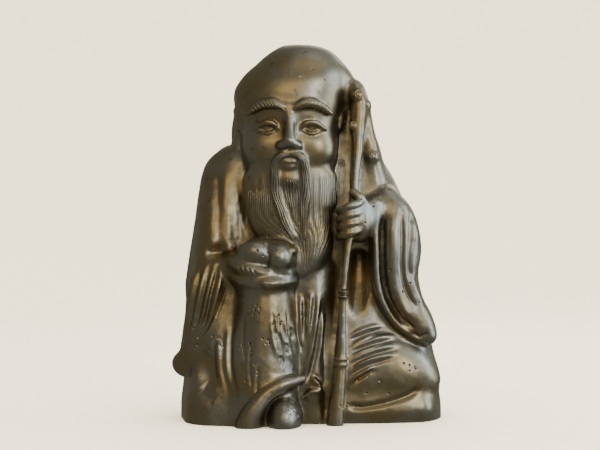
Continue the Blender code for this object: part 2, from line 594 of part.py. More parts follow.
def drapery(points, form):
    """How far folds, hems and locks raise or sink the points of each shape, view by view."""
    cloth = Relief(points)
    # Crease beside the right arm, and the robe's fullness on both sides of it
    cloth.line(((-24.0, 66, 1.0), (-23.6, 58, 1.5), (-23.2, 51, 1.6), (-22.8, 44, 1.4)), -0.9)
    cloth.fold(((-19.4, 62, 1.7), (-18.8, 55, 1.9), (-18.6, 48, 1.7)), 0.4)
    # Cloth over the shin: short wrinkles on its right, long soft folds on its left
    for k in range(4):
        x = -8.8 + 1.45 * k
        cloth.fold(((x, 31.5 - k, 0.6), (x + 0.2, 25.5, 0.65), (x + 1.0, 19.5, 0.65),
                    (x + 2.4, 14.6, 0.55)), 0.6)
    for k in range(3):
        x = -17.6 - 2.2 * k
        cloth.fold(((x, 31 - 5 * k, 0.9), (x - 0.8, 22 - k, 1.0), (x - 0.6, 14, 1.0),
                    (x + 1.4, 5.5 + k, 0.8)), 0.6, -1)
    cloth.line(((-28.0, 9.5, 1.8), (-26.0, 7.4, 1.9), (-24.0, 6.2, 1.5)), -0.7)
    # Cloth between the legs: narrow folds that gather towards the hem
    cloth.fold(((-1.7, 34.5, 0.55), (-1.8, 28, 0.6), (-1.6, 20, 0.5)), 0.7)
    cloth.fold(((1.1, 35, 0.6), (0.5, 28, 0.65), (-0.2, 21, 0.55)), 0.7)
    cloth.fold(((3.3, 34, 0.65), (2.3, 27, 0.75), (1.2, 20, 0.8), (-0.2, 14, 0.75),
                (-2.0, 8, 0.6)), 1.0)
    cloth.fold(((4.6, 30, 0.7), (3.9, 22, 0.75), (3.0, 15, 0.7)), 0.6)
    cloth.line(((4.9, 33, 1.0), (4.9, 22, 1.2), (4.8, 10, 1.1), (4.6, 0, 1.0)), -0.7)
    cloth.fold(((-1.4, 6.4, 0.7), (1.2, 8.6, 0.8), (4.0, 8.2, 0.7)), 0.7)
    cloth.fold(((0.6, 12.4, 0.7), (2.8, 10.4, 0.7), (4.4, 6.6, 0.6)), 0.6)
    # Folded leg: folds that fan out from the staff, and a smooth roll below them
    for k in range(5):
        z, far, up = 21.8 - 3.0 * k, (21.0, 24.5, 25.5, 24.5, 18.5)[k], (3.6, 3.9, 4.6, 5.4, 5.2)[k]
        cloth.fold(((10.2, z, 0.6), (10.2 + 0.3 * (far - 10.2), z + 0.52 * up, 0.75),
                    (10.2 + 0.65 * (far - 10.2), z + 0.86 * up, 0.75), (far, z + up, 0.6)), 0.6, -1)
    cloth.line(((10.5, 4.8, 0.8), (14, 4.3, 0.8), (20, 5.3, 0.8), (26, 7.0, 0.8), (30, 9.2, 0.8)), -0.8)

    sleeves = Relief(points)
    for k in range(4):
        x = -28.4 + 2.3 * k
        sleeves.fold(((x, 42.8, 0.75), (x - 1.3 - 0.3 * k, 34, 0.85), (x - 2.7 - 0.5 * k, 26, 0.85),
                      (-32.4 + 0.9 * k, 18.4, 0.7)), 1.1, -1)
    sleeves.fold(((-19.6, 36.6, 0.65), (-21.2, 31, 0.7), (-23.6, 25, 0.7), (-26.6, 20, 0.6)), 0.8, -1)
    # The broad sleeve: one main ridge, grooves that follow it, a dark mouth at the cuff
    sleeves.line(((22.3, 55, 1.3), (22.0, 46, 1.5), (22.2, 38, 1.4), (24.4, 31, 1.3),
                  (27.8, 26.4, 1.0)), 0.7)
    sleeves.line(((24.7, 56, 0.5), (24.7, 48, 0.65), (24.6, 41, 0.65), (25.6, 35, 0.6),
                  (28.6, 29.6, 0.5)), -0.8)
    sleeves.line(((27.0, 55, 0.5), (27.0, 49, 0.6), (26.5, 42, 0.6), (27.2, 37, 0.5)), -0.6)
    sleeves.fold(((26.6, 39, 0.9), (28.6, 33.4, 1.0), (31.0, 28.4, 0.9)), 0.6)
    sleeves.fold(((26.6, 54, 0.9), (28.4, 49.4, 1.0), (28.8, 44, 0.9)), 0.5)
    sleeves.line(((19.9, 56, 0.5), (19.7, 46, 0.55), (20.0, 38, 0.55), (21.4, 32.4, 0.55),
                  (24.8, 27.0, 0.5), (28.6, 24.2, 0.45)), -0.9)
    sleeves.line(((27.4, 23.6, 0.5), (29.4, 22.2, 0.6), (31.8, 23.4, 0.5)), -0.7)

    locks = Relief(points)
    locks.pleats(((38, -2.4, 1.4), (44, -4.4, 4.4), (49, -8.4, 7.2), (54, -15.4, 8.4), (64, -17, 8.8)),
                 BEARD_LOCKS, 0.7, ends=2)

    peach = Relief(points)
    peach.line(((-10.6, 47.4, 0.5), (-10.1, 44, 0.55), (-10.8, 40, 0.5)), -0.5)
    hand = Relief(points)
    for k in range(4):
        hand.line(((-17.8 + 1.3 * k, 41.4 - 0.3 * k, 0.25), (-17.2 + 1.3 * k, 39.4 - 0.2 * k, 0.25)), -0.35)

    # The hidden sides: long folds that fall from the shoulders and spread at the base
    back = Relief(points)
    for k in range(6):
        s, top = (k - 2.5) / 2.5, (46, 57, 50, 58, 52, 47)[k]
        back.fold(((1.0 + (26 - 0.25 * top) * s, top, 0.8), (1.0 + 16.5 * s, 38, 1.9),
                   (0.8 + 22 * s, 22, 2.4), (0.6 + 26 * s, 3, 1.8)), 0.8, 1 if s > 0 else -1)
    flank = Relief(points, (1, 2))
    for k in range(3):
        y = -2 + 5.0 * k
        flank.fold(((y, 58 - 6 * k, 1.2), (y + 1.0, 42, 1.6), (y + 0.4, 24, 1.8), (y - 1.6, 5, 1.5)), 0.6)
    flank.height -= 0.15
    return (
        (CLOTH, 1, -1, cloth.height), (SLEEVES, 1, -1, sleeves.height), (BEARD, 1, -1, locks.height),
        (PEACH, 1, -1, peach.height), (HANDS, 1, -1, hand.height), (CLOTH, 1, 1, back.height),
        (CLOTH, 0, -1, flank.height), (CLOTH, 0, 1, flank.height),
    )


def carve(points, normals, form):
    """Moves the points along their normals by the carving of the shape they lie on."""
    moved = points.copy()
    for group, axis, side, height in drapery(points, form):
        share = form.belongs(points, [group]) * ramp(side * normals[:, axis], 0.1, 0.55)
        moved += normals * (CARVING * height * share)[:, None]
    return moved


def build_form(cell):
    form = Form((-39, -30, -BELOW_FLOOR), (39, 21, 103), cell)
    for group, shape in (
        (CLOTH, robe), (HEAD, head), (EARS, ears), (CLOTH, legs), (SLEEVES, right_sleeve),
        (SLEEVES, left_sleeve), (BEARD, beard), (LOCKS, moustache), (HEM, hem_and_shoe),
        (PEACH, peach), (HANDS, right_hand), (STAFF, staff), (HANDS, staff_hand),
    ):
        form.group = group
        shape(form)
    form.field[:, :, :1] = 9
    form.field[[0, -1]] = 9
    form.field[:, [0, -1]] = 9
    return form


def relax(points, faces, share):
    """Evens the skin: each point moves part of the way to the middle of its neighbours."""
    start, end = faces.ravel(), np.roll(faces, -1, axis=1).ravel()
    counts = np.bincount(start, minlength=len(points)) + np.bincount(end, minlength=len(points))
    middles = np.stack(
        [
            np.bincount(start, points[end, k], len(points))
            + np.bincount(end, points[start, k], len(points))
            for k in range(3)
        ], 1,
    ) / counts[:, None]
    return points + (middles - points) * np.reshape(share, (-1, 1))


def keep_largest(work):
    """Drops the small closed bubbles inside the metal."""
    left = set(work.verts)
    pieces = []
    while left:
        piece, edge_of = [], [left.pop()]
        while edge_of:
            vert = edge_of.pop()
            piece.append(vert)
            for edge in vert.link_edges:
                other = edge.other_vert(vert)
                if other in left:
                    left.remove(other)
                    edge_of.append(other)
        pieces.append(piece)
    pieces.sort(key=len)
    for piece in pieces[:-1]:
        bmesh.ops.delete(work, geom=piece, context="VERTS")


def bronze():
    metal = bpy.data.materials.new("aged_bronze")
    metal.use_nodes = True
    shader = metal.node_tree.nodes["Principled BSDF"]
    shader.inputs["Base Color"].default_value = (0.29, 0.22, 0.12, 1)
    shader.inputs["Metallic"].default_value = 1.0
    shader.inputs["Roughness"].default_value = 0.32
    metal.diffuse_color = (0.29, 0.22, 0.12, 1)
    return metal


def keep_result(figure):
    """Puts what the figure's modifiers make in place of its mesh, without inner bubbles."""
    graph = bpy.context.evaluated_depsgraph_get()
    mesh = bpy.data.meshes.new_from_object(figure.evaluated_get(graph))
    figure.modifiers.clear()
    figure.data = mesh
    work = bmesh.new()
    work.from_mesh(mesh)
    keep_largest(work)
    work.to_mesh(mesh)
    work.free()
    return mesh


def make_figure():
    form = build_form(CELL)
    points, faces = form.skin()
    points = relax(points, faces, 0.5)
    mesh = bpy.data.meshes.new("sage_figure")
    mesh.from_pydata((points * SHARE).tolist(), [], faces.tolist())
    figure = bpy.data.objects.new("sage_figure", mesh)
    bpy.context.scene.collection.objects.link(figure)
    normals = np.array([normal.vector[:] for normal in mesh.vertex_normals])
    mesh.vertices.foreach_set("co", (carve(points, normals, form) * SHARE).ravel())
    mesh.update()

    # One even skin over all the shapes, then as few faces as still hold the form
    fuse = figure.modifiers.new("fuse", "REMESH")
    fuse.mode = "VOXEL"
    fuse.voxel_size = SKIN_CELL * SHARE
    mesh = keep_result(figure)
    for vert in mesh.vertices:
        vert.co.y *= FRONT_CARE if vert.co.y < 0 else 1
    thin = figure.modifiers.new("thin", "DECIMATE")
    thin.ratio = FACES_WANTED / (2 * len(mesh.polygons))
    thin.use_collapse_triangulate = True
    mesh = keep_result(figure)
    for vert in mesh.vertices:
        vert.co.y /= FRONT_CARE if vert.co.y < 0 else 1

    # Cut flat at the floor and closed with the underside
    work = bmesh.new()
    work.from_mesh(mesh)
    everything = work.verts[:] + work.edges[:] + work.faces[:]
    bmesh.ops.bisect_plane(
        work, geom=everything, dist=1e-6, plane_co=(0, 0, 0), plane_no=(0, 0, 1), clear_inner=True
    )
    for vert in work.verts:
        if abs(vert.co.z) < 2e-6:
            vert.co.z = 0
    bmesh.ops.remove_doubles(work, verts=work.verts[:], dist=0.00005)
    rim = [edge for edge in work.edges if edge.is_boundary]
    bmesh.ops.holes_fill(work, edges=rim, sides=0)
    bmesh.ops.triangulate(work, faces=work.faces[:])
    bmesh.ops.recalc_face_normals(work, faces=work.faces[:])
    corners = np.array([vert.co[:] for vert in work.verts])
    middle = (corners.min(0) + corners.max(0)) / 2
    bmesh.ops.translate(work, verts=work.verts[:], vec=(-middle[0], -middle[1], 0))
    work.to_mesh(mesh)
    work.free()
    mesh.name = "sage_figure"
    for face in mesh.polygons:
        face.use_smooth = True
    mesh.materials.clear()
    mesh.materials.append(bronze())
    print("middle in shares", np.round(middle / SHARE, 3), "faces", len(mesh.polygons))
    return figure


make_figure()
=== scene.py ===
import math

import bmesh
import bpy
import numpy as np
from mathutils import Matrix, Vector, noise
from mathutils.bvhtree import BVHTree


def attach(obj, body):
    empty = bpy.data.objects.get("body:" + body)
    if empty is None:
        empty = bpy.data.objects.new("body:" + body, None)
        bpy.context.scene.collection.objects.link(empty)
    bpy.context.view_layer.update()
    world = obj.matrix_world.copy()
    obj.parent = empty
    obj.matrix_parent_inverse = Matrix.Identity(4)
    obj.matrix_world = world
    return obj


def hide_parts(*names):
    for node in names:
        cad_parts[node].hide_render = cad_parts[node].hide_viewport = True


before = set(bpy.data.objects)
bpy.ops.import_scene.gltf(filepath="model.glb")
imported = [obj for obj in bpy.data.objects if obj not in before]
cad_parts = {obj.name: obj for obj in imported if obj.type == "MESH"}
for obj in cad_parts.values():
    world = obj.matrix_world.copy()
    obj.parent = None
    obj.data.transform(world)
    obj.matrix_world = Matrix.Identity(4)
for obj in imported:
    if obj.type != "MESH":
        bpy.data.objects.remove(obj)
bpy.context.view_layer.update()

figureSizes = {
    "height": 0.180,
    "headMiddle": -4.7,
    "belowFloor": 3.0,
    "staffRing": 0.42,
    "cell": 0.32,  # grid spacing of the form
    # How often the whole skin is evened, and how strongly
    "evenRounds": 4,
    "evenHard": 0.5,
    "evenSofter": 0.3,  # added on cloth and on the staff
    "evenShare": 0.8,
    # Then the cloth alone
    "clothRounds": 8,
    "clothShare": 0.6,
    "carving": 1.0,
    "beardLocks": 13,
    "lockDepth": 0.14,
    "triangles": 172000,
}
share = figureSizes["height"] / 100
farOff = 9  # the distance held where no shape is near
viewStart = 40  # how far from the figure the drawn lines and marks start
(clothShape, headShape, earShape, sleeveShape, beardShape, lockShape, hemShape, peachShape,
 handShape, staffShape) = range(1, 11)


def smoothRows(rows, steps):
    # Rows of numbers turned into a smooth run of rows that passes through each of them.
    rows = np.array(rows, float)
    ends = np.vstack([2 * rows[0] - rows[1], rows, 2 * rows[-1] - rows[-2]])
    out = []
    for a, b, c, d in zip(ends[:-3], ends[1:-2], ends[2:-1], ends[3:]):
        for i in range(steps):
            t = i / steps
            out.append(
                b + 0.5 * t * (c - a) + t * t * (a - 2.5 * b + 2 * c - 0.5 * d)
                + t * t * t * (1.5 * (b - c) + 0.5 * (d - a))
            )
    out.append(rows[-1])
    return np.array(out)


def softMin(a, b, blend):
    near = np.maximum(blend - np.abs(a - b), 0) / blend
    return np.minimum(a, b) - near * near * blend / 4


def ramp(value, low, high):
    t = np.clip((value - low) / (high - low), 0, 1)
    return t * t * (3 - 2 * t)


# A solid held as a distance at each point of a grid: below zero inside, above zero outside.
class Form:

    def __init__(self, low, high, cell):
        self.cell = cell
        self.axes = [np.arange(a, b + cell, cell).astype(np.float32) for a, b in zip(low, high)]
        self.field = np.full([len(axis) for axis in self.axes], farOff, np.float32)
        self.owner = np.zeros(self.field.shape, np.uint8)
        self.group = 0

    def window(self, low, high):
        cuts = tuple(
            slice(np.searchsorted(axis, a), np.searchsorted(axis, b))
            for axis, a, b in zip(self.axes, low, high)
        )
        places = np.ix_(*[axis[cut] for axis, cut in zip(self.axes, cuts)])
        return cuts, places

    def merge(self, cuts, distance, blend, cut=False):
        if cut:
            self.field[cuts] = -softMin(-self.field[cuts], distance, blend)
        else:
            self.owner[cuts][distance < self.field[cuts]] = self.group
            self.field[cuts] = softMin(self.field[cuts], distance, blend)

    # The grid's values read between its points.
    def sample(self, values, points):
        spot = (points - [axis[0] for axis in self.axes]) / self.cell
        base = np.clip(np.floor(spot).astype(int), 0, np.array(values.shape) - 2)
        part = spot - base
        total = np.zeros(len(points))
        for i in (0, 1):
            for j in (0, 1):
                for k in (0, 1):
                    weight = np.prod(np.abs(part - (1 - i, 1 - j, 1 - k)), axis=1)
                    total += weight * values[base[:, 0] + i, base[:, 1] + j, base[:, 2] + k]
        return total

    # How far each point lies on these groups' shapes, from 0 to 1.
    def belongs(self, points, groups):
        return self.sample(np.isin(self.owner, groups).astype(np.float32), points)

    # Moves the points onto the surface itself, off the steps of the grid.
    def settle(self, points):
        for _ in range(2):
            slope = np.stack(
                [
                    self.sample(self.field, points + way) - self.sample(self.field, points - way)
                    for way in np.eye(3) * self.cell
                ], 1,
            ) / (2 * self.cell)
            step = self.sample(self.field, points) / np.maximum((slope**2).sum(1), 0.25)
            points = points - slope * np.clip(step, -0.3 * self.cell, 0.3 * self.cell)[:, None]
        return points

    # An ellipsoid, leaning by tilt degrees in the front view.
    def ball(self, centre, radii, blend=1.5, tilt=0, cut=False):
        reach = max(radii) + blend + self.cell
        cuts, (x, y, z) = self.window([c - reach for c in centre], [c + reach for c in centre])
        x, y, z = x - centre[0], y - centre[1], z - centre[2]
        turn, lean = math.cos(math.radians(tilt)), math.sin(math.radians(tilt))
        x, z = x * turn + z * lean, z * turn - x * lean
        near = np.sqrt((x / radii[0]) ** 2 + (y / radii[1]) ** 2 + (z / radii[2]) ** 2)
        slope = np.sqrt(
            (x / radii[0] ** 2) ** 2 + (y / radii[1] ** 2) ** 2 + (z / radii[2] ** 2) ** 2
        )
        distance = near * (near - 1) / np.maximum(slope, 1e-4)
        self.merge(cuts, distance, blend, cut)

    # A limb along a smooth path. Each row is x, y, z, half the width and half the depth.
    def limb(self, rows, blend=1.5, steps=5, cut=False):
        rows = smoothRows(rows, steps)
        rows = rows[np.r_[True, np.linalg.norm(np.diff(rows[:, :3], axis=0), axis=1) > 1e-6]]
        reach = rows[:, 3:].max() + blend + self.cell
        cuts, (x, y, z) = self.window(rows[:, :3].min(0) - reach, rows[:, :3].max(0) + reach)
        best = np.full(np.broadcast_shapes(x.shape, y.shape, z.shape), farOff, np.float32)
        # Each row's own way along the path, towards the viewer and across
        along = np.gradient(rows[:, :3], axis=0)
        along /= np.linalg.norm(along, axis=1)[:, None]
        facing = along * along[:, 1:2] + (0, -1.0, 0)
        facing /= np.linalg.norm(facing, axis=1)[:, None]
        across = np.cross(along, facing)
        for k in range(len(rows) - 1):
            a, b = rows[k], rows[k + 1]
            gap = b[:3] - a[:3]
            span = max(a[3:].max(), b[3:].max()) + blend + self.cell
            low = np.minimum(a[:3], b[:3]) - span
            high = np.maximum(a[:3], b[:3]) + span
            part = tuple(
                slice(np.searchsorted(axis.ravel(), p), np.searchsorted(axis.ravel(), q))
                for axis, p, q in zip((x, y, z), low, high)
            )
            off = (x[part[0]] - a[0], y[:, part[1]] - a[1], z[:, :, part[2]] - a[2])
            start = sum(d * n for d, n in zip(off, along[k]))
            end = sum(d * n for d, n in zip(off, along[k + 1])) - gap @ along[k + 1]
            t = start / np.maximum(start - end, 0.25 * np.linalg.norm(gap))
            past = np.where(t < 0, start, np.where(t > 1, end, 0))
            t = np.clip(t, 0, 1)
            width = a[3] + t * (b[3] - a[3])
            depth = a[4] + t * (b[4] - a[4])
            side = front = 0
            for d, g, w0, w1, f0, f1 in zip(
                off, gap, across[k], across[k + 1], facing[k], facing[k + 1]
            ):
                fromPath = d - t * g
                side = side + fromPath * (w0 + t * (w1 - w0))
                front = front + fromPath * (f0 + t * (f1 - f0))
            least = np.minimum(width, depth)
            near = np.sqrt((side / width) ** 2 + (front / depth) ** 2 + (past / least) ** 2)
            slope = np.sqrt(
                (side / width**2) ** 2 + (front / depth**2) ** 2 + (past / least**2) ** 2
            )
            best[part] = np.minimum(best[part], near * (near - 1) / np.maximum(slope, 1e-4))
        self.merge(cuts, best, blend, cut)

    # A body of level sections. Each row is z, left, right, front, back.
    def stack(self, rows, power=2.4, blend=1.5):
        rows = smoothRows(rows, 6)
        low = (rows[:, 1].min() - 3, rows[:, 3].min() - 3, rows[0, 0] - 3)
        high = (rows[:, 2].max() + 3, rows[:, 4].max() + 3, rows[-1, 0] + 3)
        cuts, (x, y, z) = self.window(low, high)
        left, right, front, back = (
            np.interp(z, rows[:, 0], rows[:, k]).astype(np.float32) for k in range(1, 5)
        )
        middle, half = (left + right) / 2, (right - left) / 2
        core = front + 0.55 * (back - front)
        deep = np.where(y < core, core - front, back - core)
        across, along = np.abs(x - middle) / half, np.abs(y - core) / deep
        near = np.maximum(across**power + along**power, 1e-6) ** (1 / power)
        slope = near ** (1 - power) * np.sqrt(
            (across ** (power - 1) / half) ** 2 + (along ** (power - 1) / deep) ** 2
        )
        distance = (near - 1) / np.maximum(slope, 0.02)
        distance = np.maximum(distance, z - rows[-1, 0])
        distance = np.maximum(distance, rows[0, 0] - z)
        self.merge(cuts, np.minimum(distance, farOff).astype(np.float32), blend)

    # Closes the spots where two walls would meet only along an edge.
    def untangle(self):
        for _ in range(4):
            for axis in range(3):
                turned = np.moveaxis(self.field, axis, 0)
                a, b = turned[:, :-1, :-1], turned[:, 1:, :-1]
                c, d = turned[:, :-1, 1:], turned[:, 1:, 1:]
                b[(a < 0) & (d < 0) & (b >= 0) & (c >= 0)] = -0.02
                a[(a >= 0) & (d >= 0) & (b < 0) & (c < 0)] = -0.02

    # The points and four-sided faces of the surface where the distance is zero.
    def skin(self):
        self.field = np.round(self.field, 4) + 1e-5
        self.untangle()
        field = self.field
        inside = field < 0
        nx, ny, nz = field.shape
        corner = [(i, j, k) for i in (0, 1) for j in (0, 1) for k in (0, 1)]
        total = sum(
            inside[i : nx - 1 + i, j : ny - 1 + j, k : nz - 1 + k].astype(np.int8)
            for i, j, k in corner
        )
        cells = np.argwhere((total > 0) & (total < 8))
        number = np.full((nx - 1, ny - 1, nz - 1), -1, np.int64)
        number[tuple(cells.T)] = np.arange(len(cells))
        sums, counts = np.zeros((len(cells), 3)), np.zeros(len(cells))
        for i, j, k in corner:
            for axis in range(3):
                if (i, j, k)[axis]:
                    continue
                start = cells + (i, j, k)
                end = start.copy()
                end[:, axis] += 1
                a, b = field[tuple(start.T)], field[tuple(end.T)]
                crossed = (a < 0) != (b < 0)
                t = a / np.where(crossed, a - b, 1)
                place = start.astype(float)
                place[:, axis] += t
                sums[crossed] += place[crossed]
                counts += crossed
        points = sums / counts[:, None] * self.cell + [axis[0] for axis in self.axes]
        points = self.settle(points)
        faces = []
        for axis in range(3):
            one, two = (axis + 1) % 3, (axis + 2) % 3
            ahead = np.moveaxis(inside, (axis, one, two), (0, 1, 2))
            mark = np.moveaxis(number, (axis, one, two), (0, 1, 2))
            change = ahead[:-1, 1:-1, 1:-1] != ahead[1:, 1:-1, 1:-1]
            i, j, k = np.nonzero(change)
            quad = np.stack(
                [mark[i, j, k], mark[i, j + 1, k], mark[i, j + 1, k + 1], mark[i, j, k + 1]], 1
            )
            leaving = ahead[i, j + 1, k + 1]
            quad[~leaving] = quad[~leaving][:, ::-1]
            faces.append(quad)
        return points, np.vstack(faces)


# Carving drawn in one view: how far the skin stands out at each point. The view is two of
# the axes: 0 and 2 for the front or the back, 1 and 2 for a side.
class Relief:

    def __init__(self, points, view=(0, 2)):
        self.x, self.z = points[:, view[0]], points[:, view[1]]
        self.height = np.zeros(len(points))

    # The points near a path: which they are, how far across it and how far along it.
    def track(self, rows, steps=5):
        rows = smoothRows(rows, steps)
        reach = 5 * rows[:, 2].max()
        low, high = rows[:, :2].min(0) - reach, rows[:, :2].max(0) + reach
        near = np.nonzero(
            (self.x > low[0]) & (self.x < high[0]) & (self.z > low[1]) & (self.z < high[1])
        )[0]
        x, z = self.x[near], self.z[near]
        across, along = np.full(len(near), float(farOff)), np.zeros(len(near))
        for k, (a, b) in enumerate(zip(rows[:-1], rows[1:])):
            dx, dz = b[0] - a[0], b[1] - a[1]
            length = max(math.hypot(dx, dz), 1e-6)
            t = np.clip(((x - a[0]) * dx + (z - a[1]) * dz) / length**2, 0, 1)
            width = a[2] + t * (b[2] - a[2])
            offX, offZ = x - a[0] - t * dx, z - a[1] - t * dz
            away = np.hypot(offX, offZ) / width
            closer = away < np.abs(across)
            side = np.where(dx * offZ - dz * offX < 0, -1, 1)
            across[closer] = (away * side)[closer]
            along[closer] = ((k + t) / (len(rows) - 1))[closer]
        return near, across, along

    # A ridge, or a groove where rise is below zero. Each row is x, z and half the width.
    def line(self, rows, rise):
        near, across, along = self.track(rows)
        fade = ramp(along, -0.02, 0.14) * (1 - ramp(along, 0.86, 1.02))
        self.height[near] += rise * fade * np.exp(-(across**2))

    # A fold of cloth that dies out at both ends, undercut on its left or right side.
    def fold(self, rows, rise, lean=1):
        near, across, along = self.track(rows)
        fade = ramp(along, 0, 0.32) * (1 - ramp(along, 0.55, 1))
        ridge = np.exp(-(across**2))
        under = np.exp(-(((across * lean - 1.5) / 0.75) ** 2))
        self.height[near] += rise * fade * (ridge - 0.75 * under)

    # Parallel folds between two edges. Each row is a place along the folds and both edges.
    def pleats(self, rows, count, depth, upright=True, ends=2.0, sharp=0.8):
        rows = smoothRows(rows, 5)
        run, cross = (self.z, self.x) if upright else (self.x, self.z)
        order = np.argsort(rows[:, 0])
        place = rows[order]
        one = np.interp(run, place[:, 0], place[:, 1])
        two = np.interp(run, place[:, 0], place[:, 2])
        s = (cross - one) / (two - one)
        fade = ramp(run, place[0, 0] - ends, place[0, 0] + ends)
        fade = fade * (1 - ramp(run, place[-1, 0] - ends, place[-1, 0] + ends))
        fade = fade * ramp(s, 0, 0.1) * (1 - ramp(s, 0.9, 1))
        wave = np.abs(np.sin(math.pi * count * np.clip(s, 0, 1))) ** sharp
        self.height += depth * (wave - 0.7) * fade


# The same rows on the other side of the head.
def mirrored(rows):
    return [(2 * figureSizes["headMiddle"] - row[0],) + tuple(row[1:]) for row in rows]


# The seated body in its robe, from the base to the shoulders.
def robe(form):
    form.stack(
        (
            (-4, -34.0, 36.2, -14.2, 17.0), (3, -34.3, 36.3, -14.6, 17.2),
            (9, -33.8, 35.4, -14.0, 17.2), (16, -33.0, 34.4, -13.2, 17.0),
            (22, -32.6, 33.0, -12.4, 16.8), (29, -32.6, 30.0, -11.6, 16.4),
            (38, -31.8, 27.0, -10.6, 15.8), (46, -30.6, 27.2, -10.2, 15.2),
            (54, -29.4, 26.3, -9.7, 14.5), (61, -28.8, 24.0, -9.0, 13.6),
            (66.5, -28.0, 21.4, -8.0, 12.4), (70, -25.5, 19.0, -6.5, 10.8),
            (73, -18.8, 15.5, -4.5, 8.0),
        ),
        power=3.0,
    )
    # The right upper arm and shoulder, on the viewer's left
    form.limb(
        (
            (-19.5, 1.0, 66.5, 7.0, 8.5), (-22.8, -0.8, 57, 6.6, 9.7),
            (-23.6, -2.6, 46, 6.8, 10.2), (-24.4, -2, 36, 7.2, 9.2),
        ),
        blend=3,
    )
    # The left shoulder, sloping up to the staff
    form.limb(((19, 1, 58, 6.5, 9), (15.5, 1.5, 66, 5.5, 8), (11, 2, 73, 5, 7)), blend=3)
    # Rounded back, and the collar round the neck
    form.limb(((-2.5, 4, 60, 15, 11.4), (-2.0, 5, 44, 19, 12.6), (0, 5.4, 26, 23, 12.6),
               (1, 5, 8, 26, 12.8)), blend=4)
    form.limb(
        (
            (-17.8, -2.0, 66.0, 1.4, 1.8), (-18.0, 3.0, 68.4, 1.4, 1.8), (-13.8, 9.4, 69.8, 1.5, 1.8),
            (-4.7, 11.8, 70.2, 1.5, 1.8), (5.2, 9.4, 69.8, 1.5, 1.8), (10.0, 3.0, 68.4, 1.4, 1.8),
        ),
        blend=1.0,
    )


# The raised right knee with its shin, and the left leg folded flat beside it.
def legs(form):
    form.limb(
        (
            (-10.8, -12.2, 35.0, 7.4, 7.2), (-10.8, -12.8, 28, 8.0, 8.2),
            (-11.2, -13.0, 16, 9.2, 9.0), (-12.0, -13.2, 6, 10.0, 9.6),
            (-12.5, -13.2, -4, 10.5, 10.4),
        ),
        blend=2.5,
    )
    form.limb(
        ((-20, -5, 33, 7, 8), (-22.5, -7, 20, 7.5, 9), (-23.5, -8.5, 8, 8.5, 10.2),
         (-24, -8.5, -4, 8.8, 10.6)),
        blend=3,
    )
    # Roll of cloth over the knee, under the hand
    form.limb(((-18.0, -9.4, 37.4, 2.2, 4.0), (-15.0, -14.6, 36.8, 2.2, 4.6),
               (-9.8, -17.2, 36.6, 2.1, 4.6), (-5.2, -13.4, 37.0, 1.9, 4.0)), blend=1.8)
    # Folded leg: thigh and calf as one broad roll, then the knee at the viewer's right
    form.limb(
        (
            (8, -7.0, 12.0, 9.8, 7.6), (17, -6.8, 13.0, 11.0, 7.8),
            (25, -6.2, 12.0, 9.4, 7.8), (29.2, -4.6, 10.8, 6.2, 7.2),
        ),
        blend=2.5,
    )
    form.limb(((9, -8.2, 3.6, 5.0, 6.4), (20, -8.0, 3.4, 5.0, 6.6), (29, -6.4, 3.4, 4.8, 7.0)),
              blend=2.5)
    # Cloth hanging between the legs, with the knot of its cord
    form.limb(
        ((1.6, -9.4, 40, 5.4, 4.0), (1.4, -10.8, 28, 4.8, 4.2), (0.9, -11.6, 14, 4.2, 4.2),
         (2.4, -11.2, -4, 4.4, 4.2)),
        blend=2.4,
    )
    form.ball((-3.0, -14.6, 19.6), (1.15, 1.3, 1.25), blend=0.5)
    form.ball((-3.4, -11.4, 42.4), (3.4, 4.2, 4.6), blend=1.6)
    form.ball((1.6, -13.6, 8.8), (3.6, 3.0, 3.2), blend=2.2)


# The robe's edge arching over the right shoe.
def hemAndShoe(form):
    form.ball((-6.6, -24.0, 1.5), (5.4, 5.5, 8.6), blend=1.0, cut=True)
    form.limb(
        (
            (-15.6, -22.0, -4, 3.0, 2.8), (-15.3, -22.4, 1.0, 2.9, 2.7),
            (-13.2, -22.4, 5.0, 2.5, 2.4), (-10.4, -21.8, 8.4, 2.1, 2.2),
            (-6.4, -21.0, 10.8, 1.8, 2.0), (-1.8, -18.4, 12.0, 1.4, 1.8),
        ),
        blend=0.9,
    )
    form.ball((-6.1, -17.0, 1.8), (4.7, 9.2, 6.1), blend=0.7)


# The sleeve that hangs from the forearm on the viewer's left.
def rightSleeve(form):
    form.limb(
        (
            (-23.4, -7.4, 42.4, 5.4, 6.8), (-25.4, -8.4, 34.6, 6.2, 6.8),
            (-27.4, -8.6, 26, 5.2, 6.0), (-30.0, -8.2, 19.0, 3.6, 4.8),
            (-31.9, -7.4, 14.8, 2.7, 3.2),
        ),
        blend=1.8,
    )
    form.ball((-32.6, -7.2, 14.8), (3.4, 3.6, 3.0), blend=1.4, tilt=-30)
    # Hollows under the sleeve's corner and over the forearm
    form.ball((-27.0, -17.6, 15.0), (3.0, 3.2, 5.2), blend=3.0, tilt=14, cut=True)
    form.ball((-22.8, -13.6, 44.4), (3.4, 3.0, 1.7), blend=2.2, cut=True)


# A peach of two lobes, with a leaf at its side.
def peach(form):
    form.ball((-13.4, -15.0, 44.5), (5.2, 5.7, 3.9), blend=1.0)
    form.ball((-7.4, -15.6, 43.2), (4.1, 5.9, 4.4), blend=2.2)
    form.ball((-3.9, -16.6, 45.0), (1.2, 2.4, 1.3), blend=0.5, tilt=30)


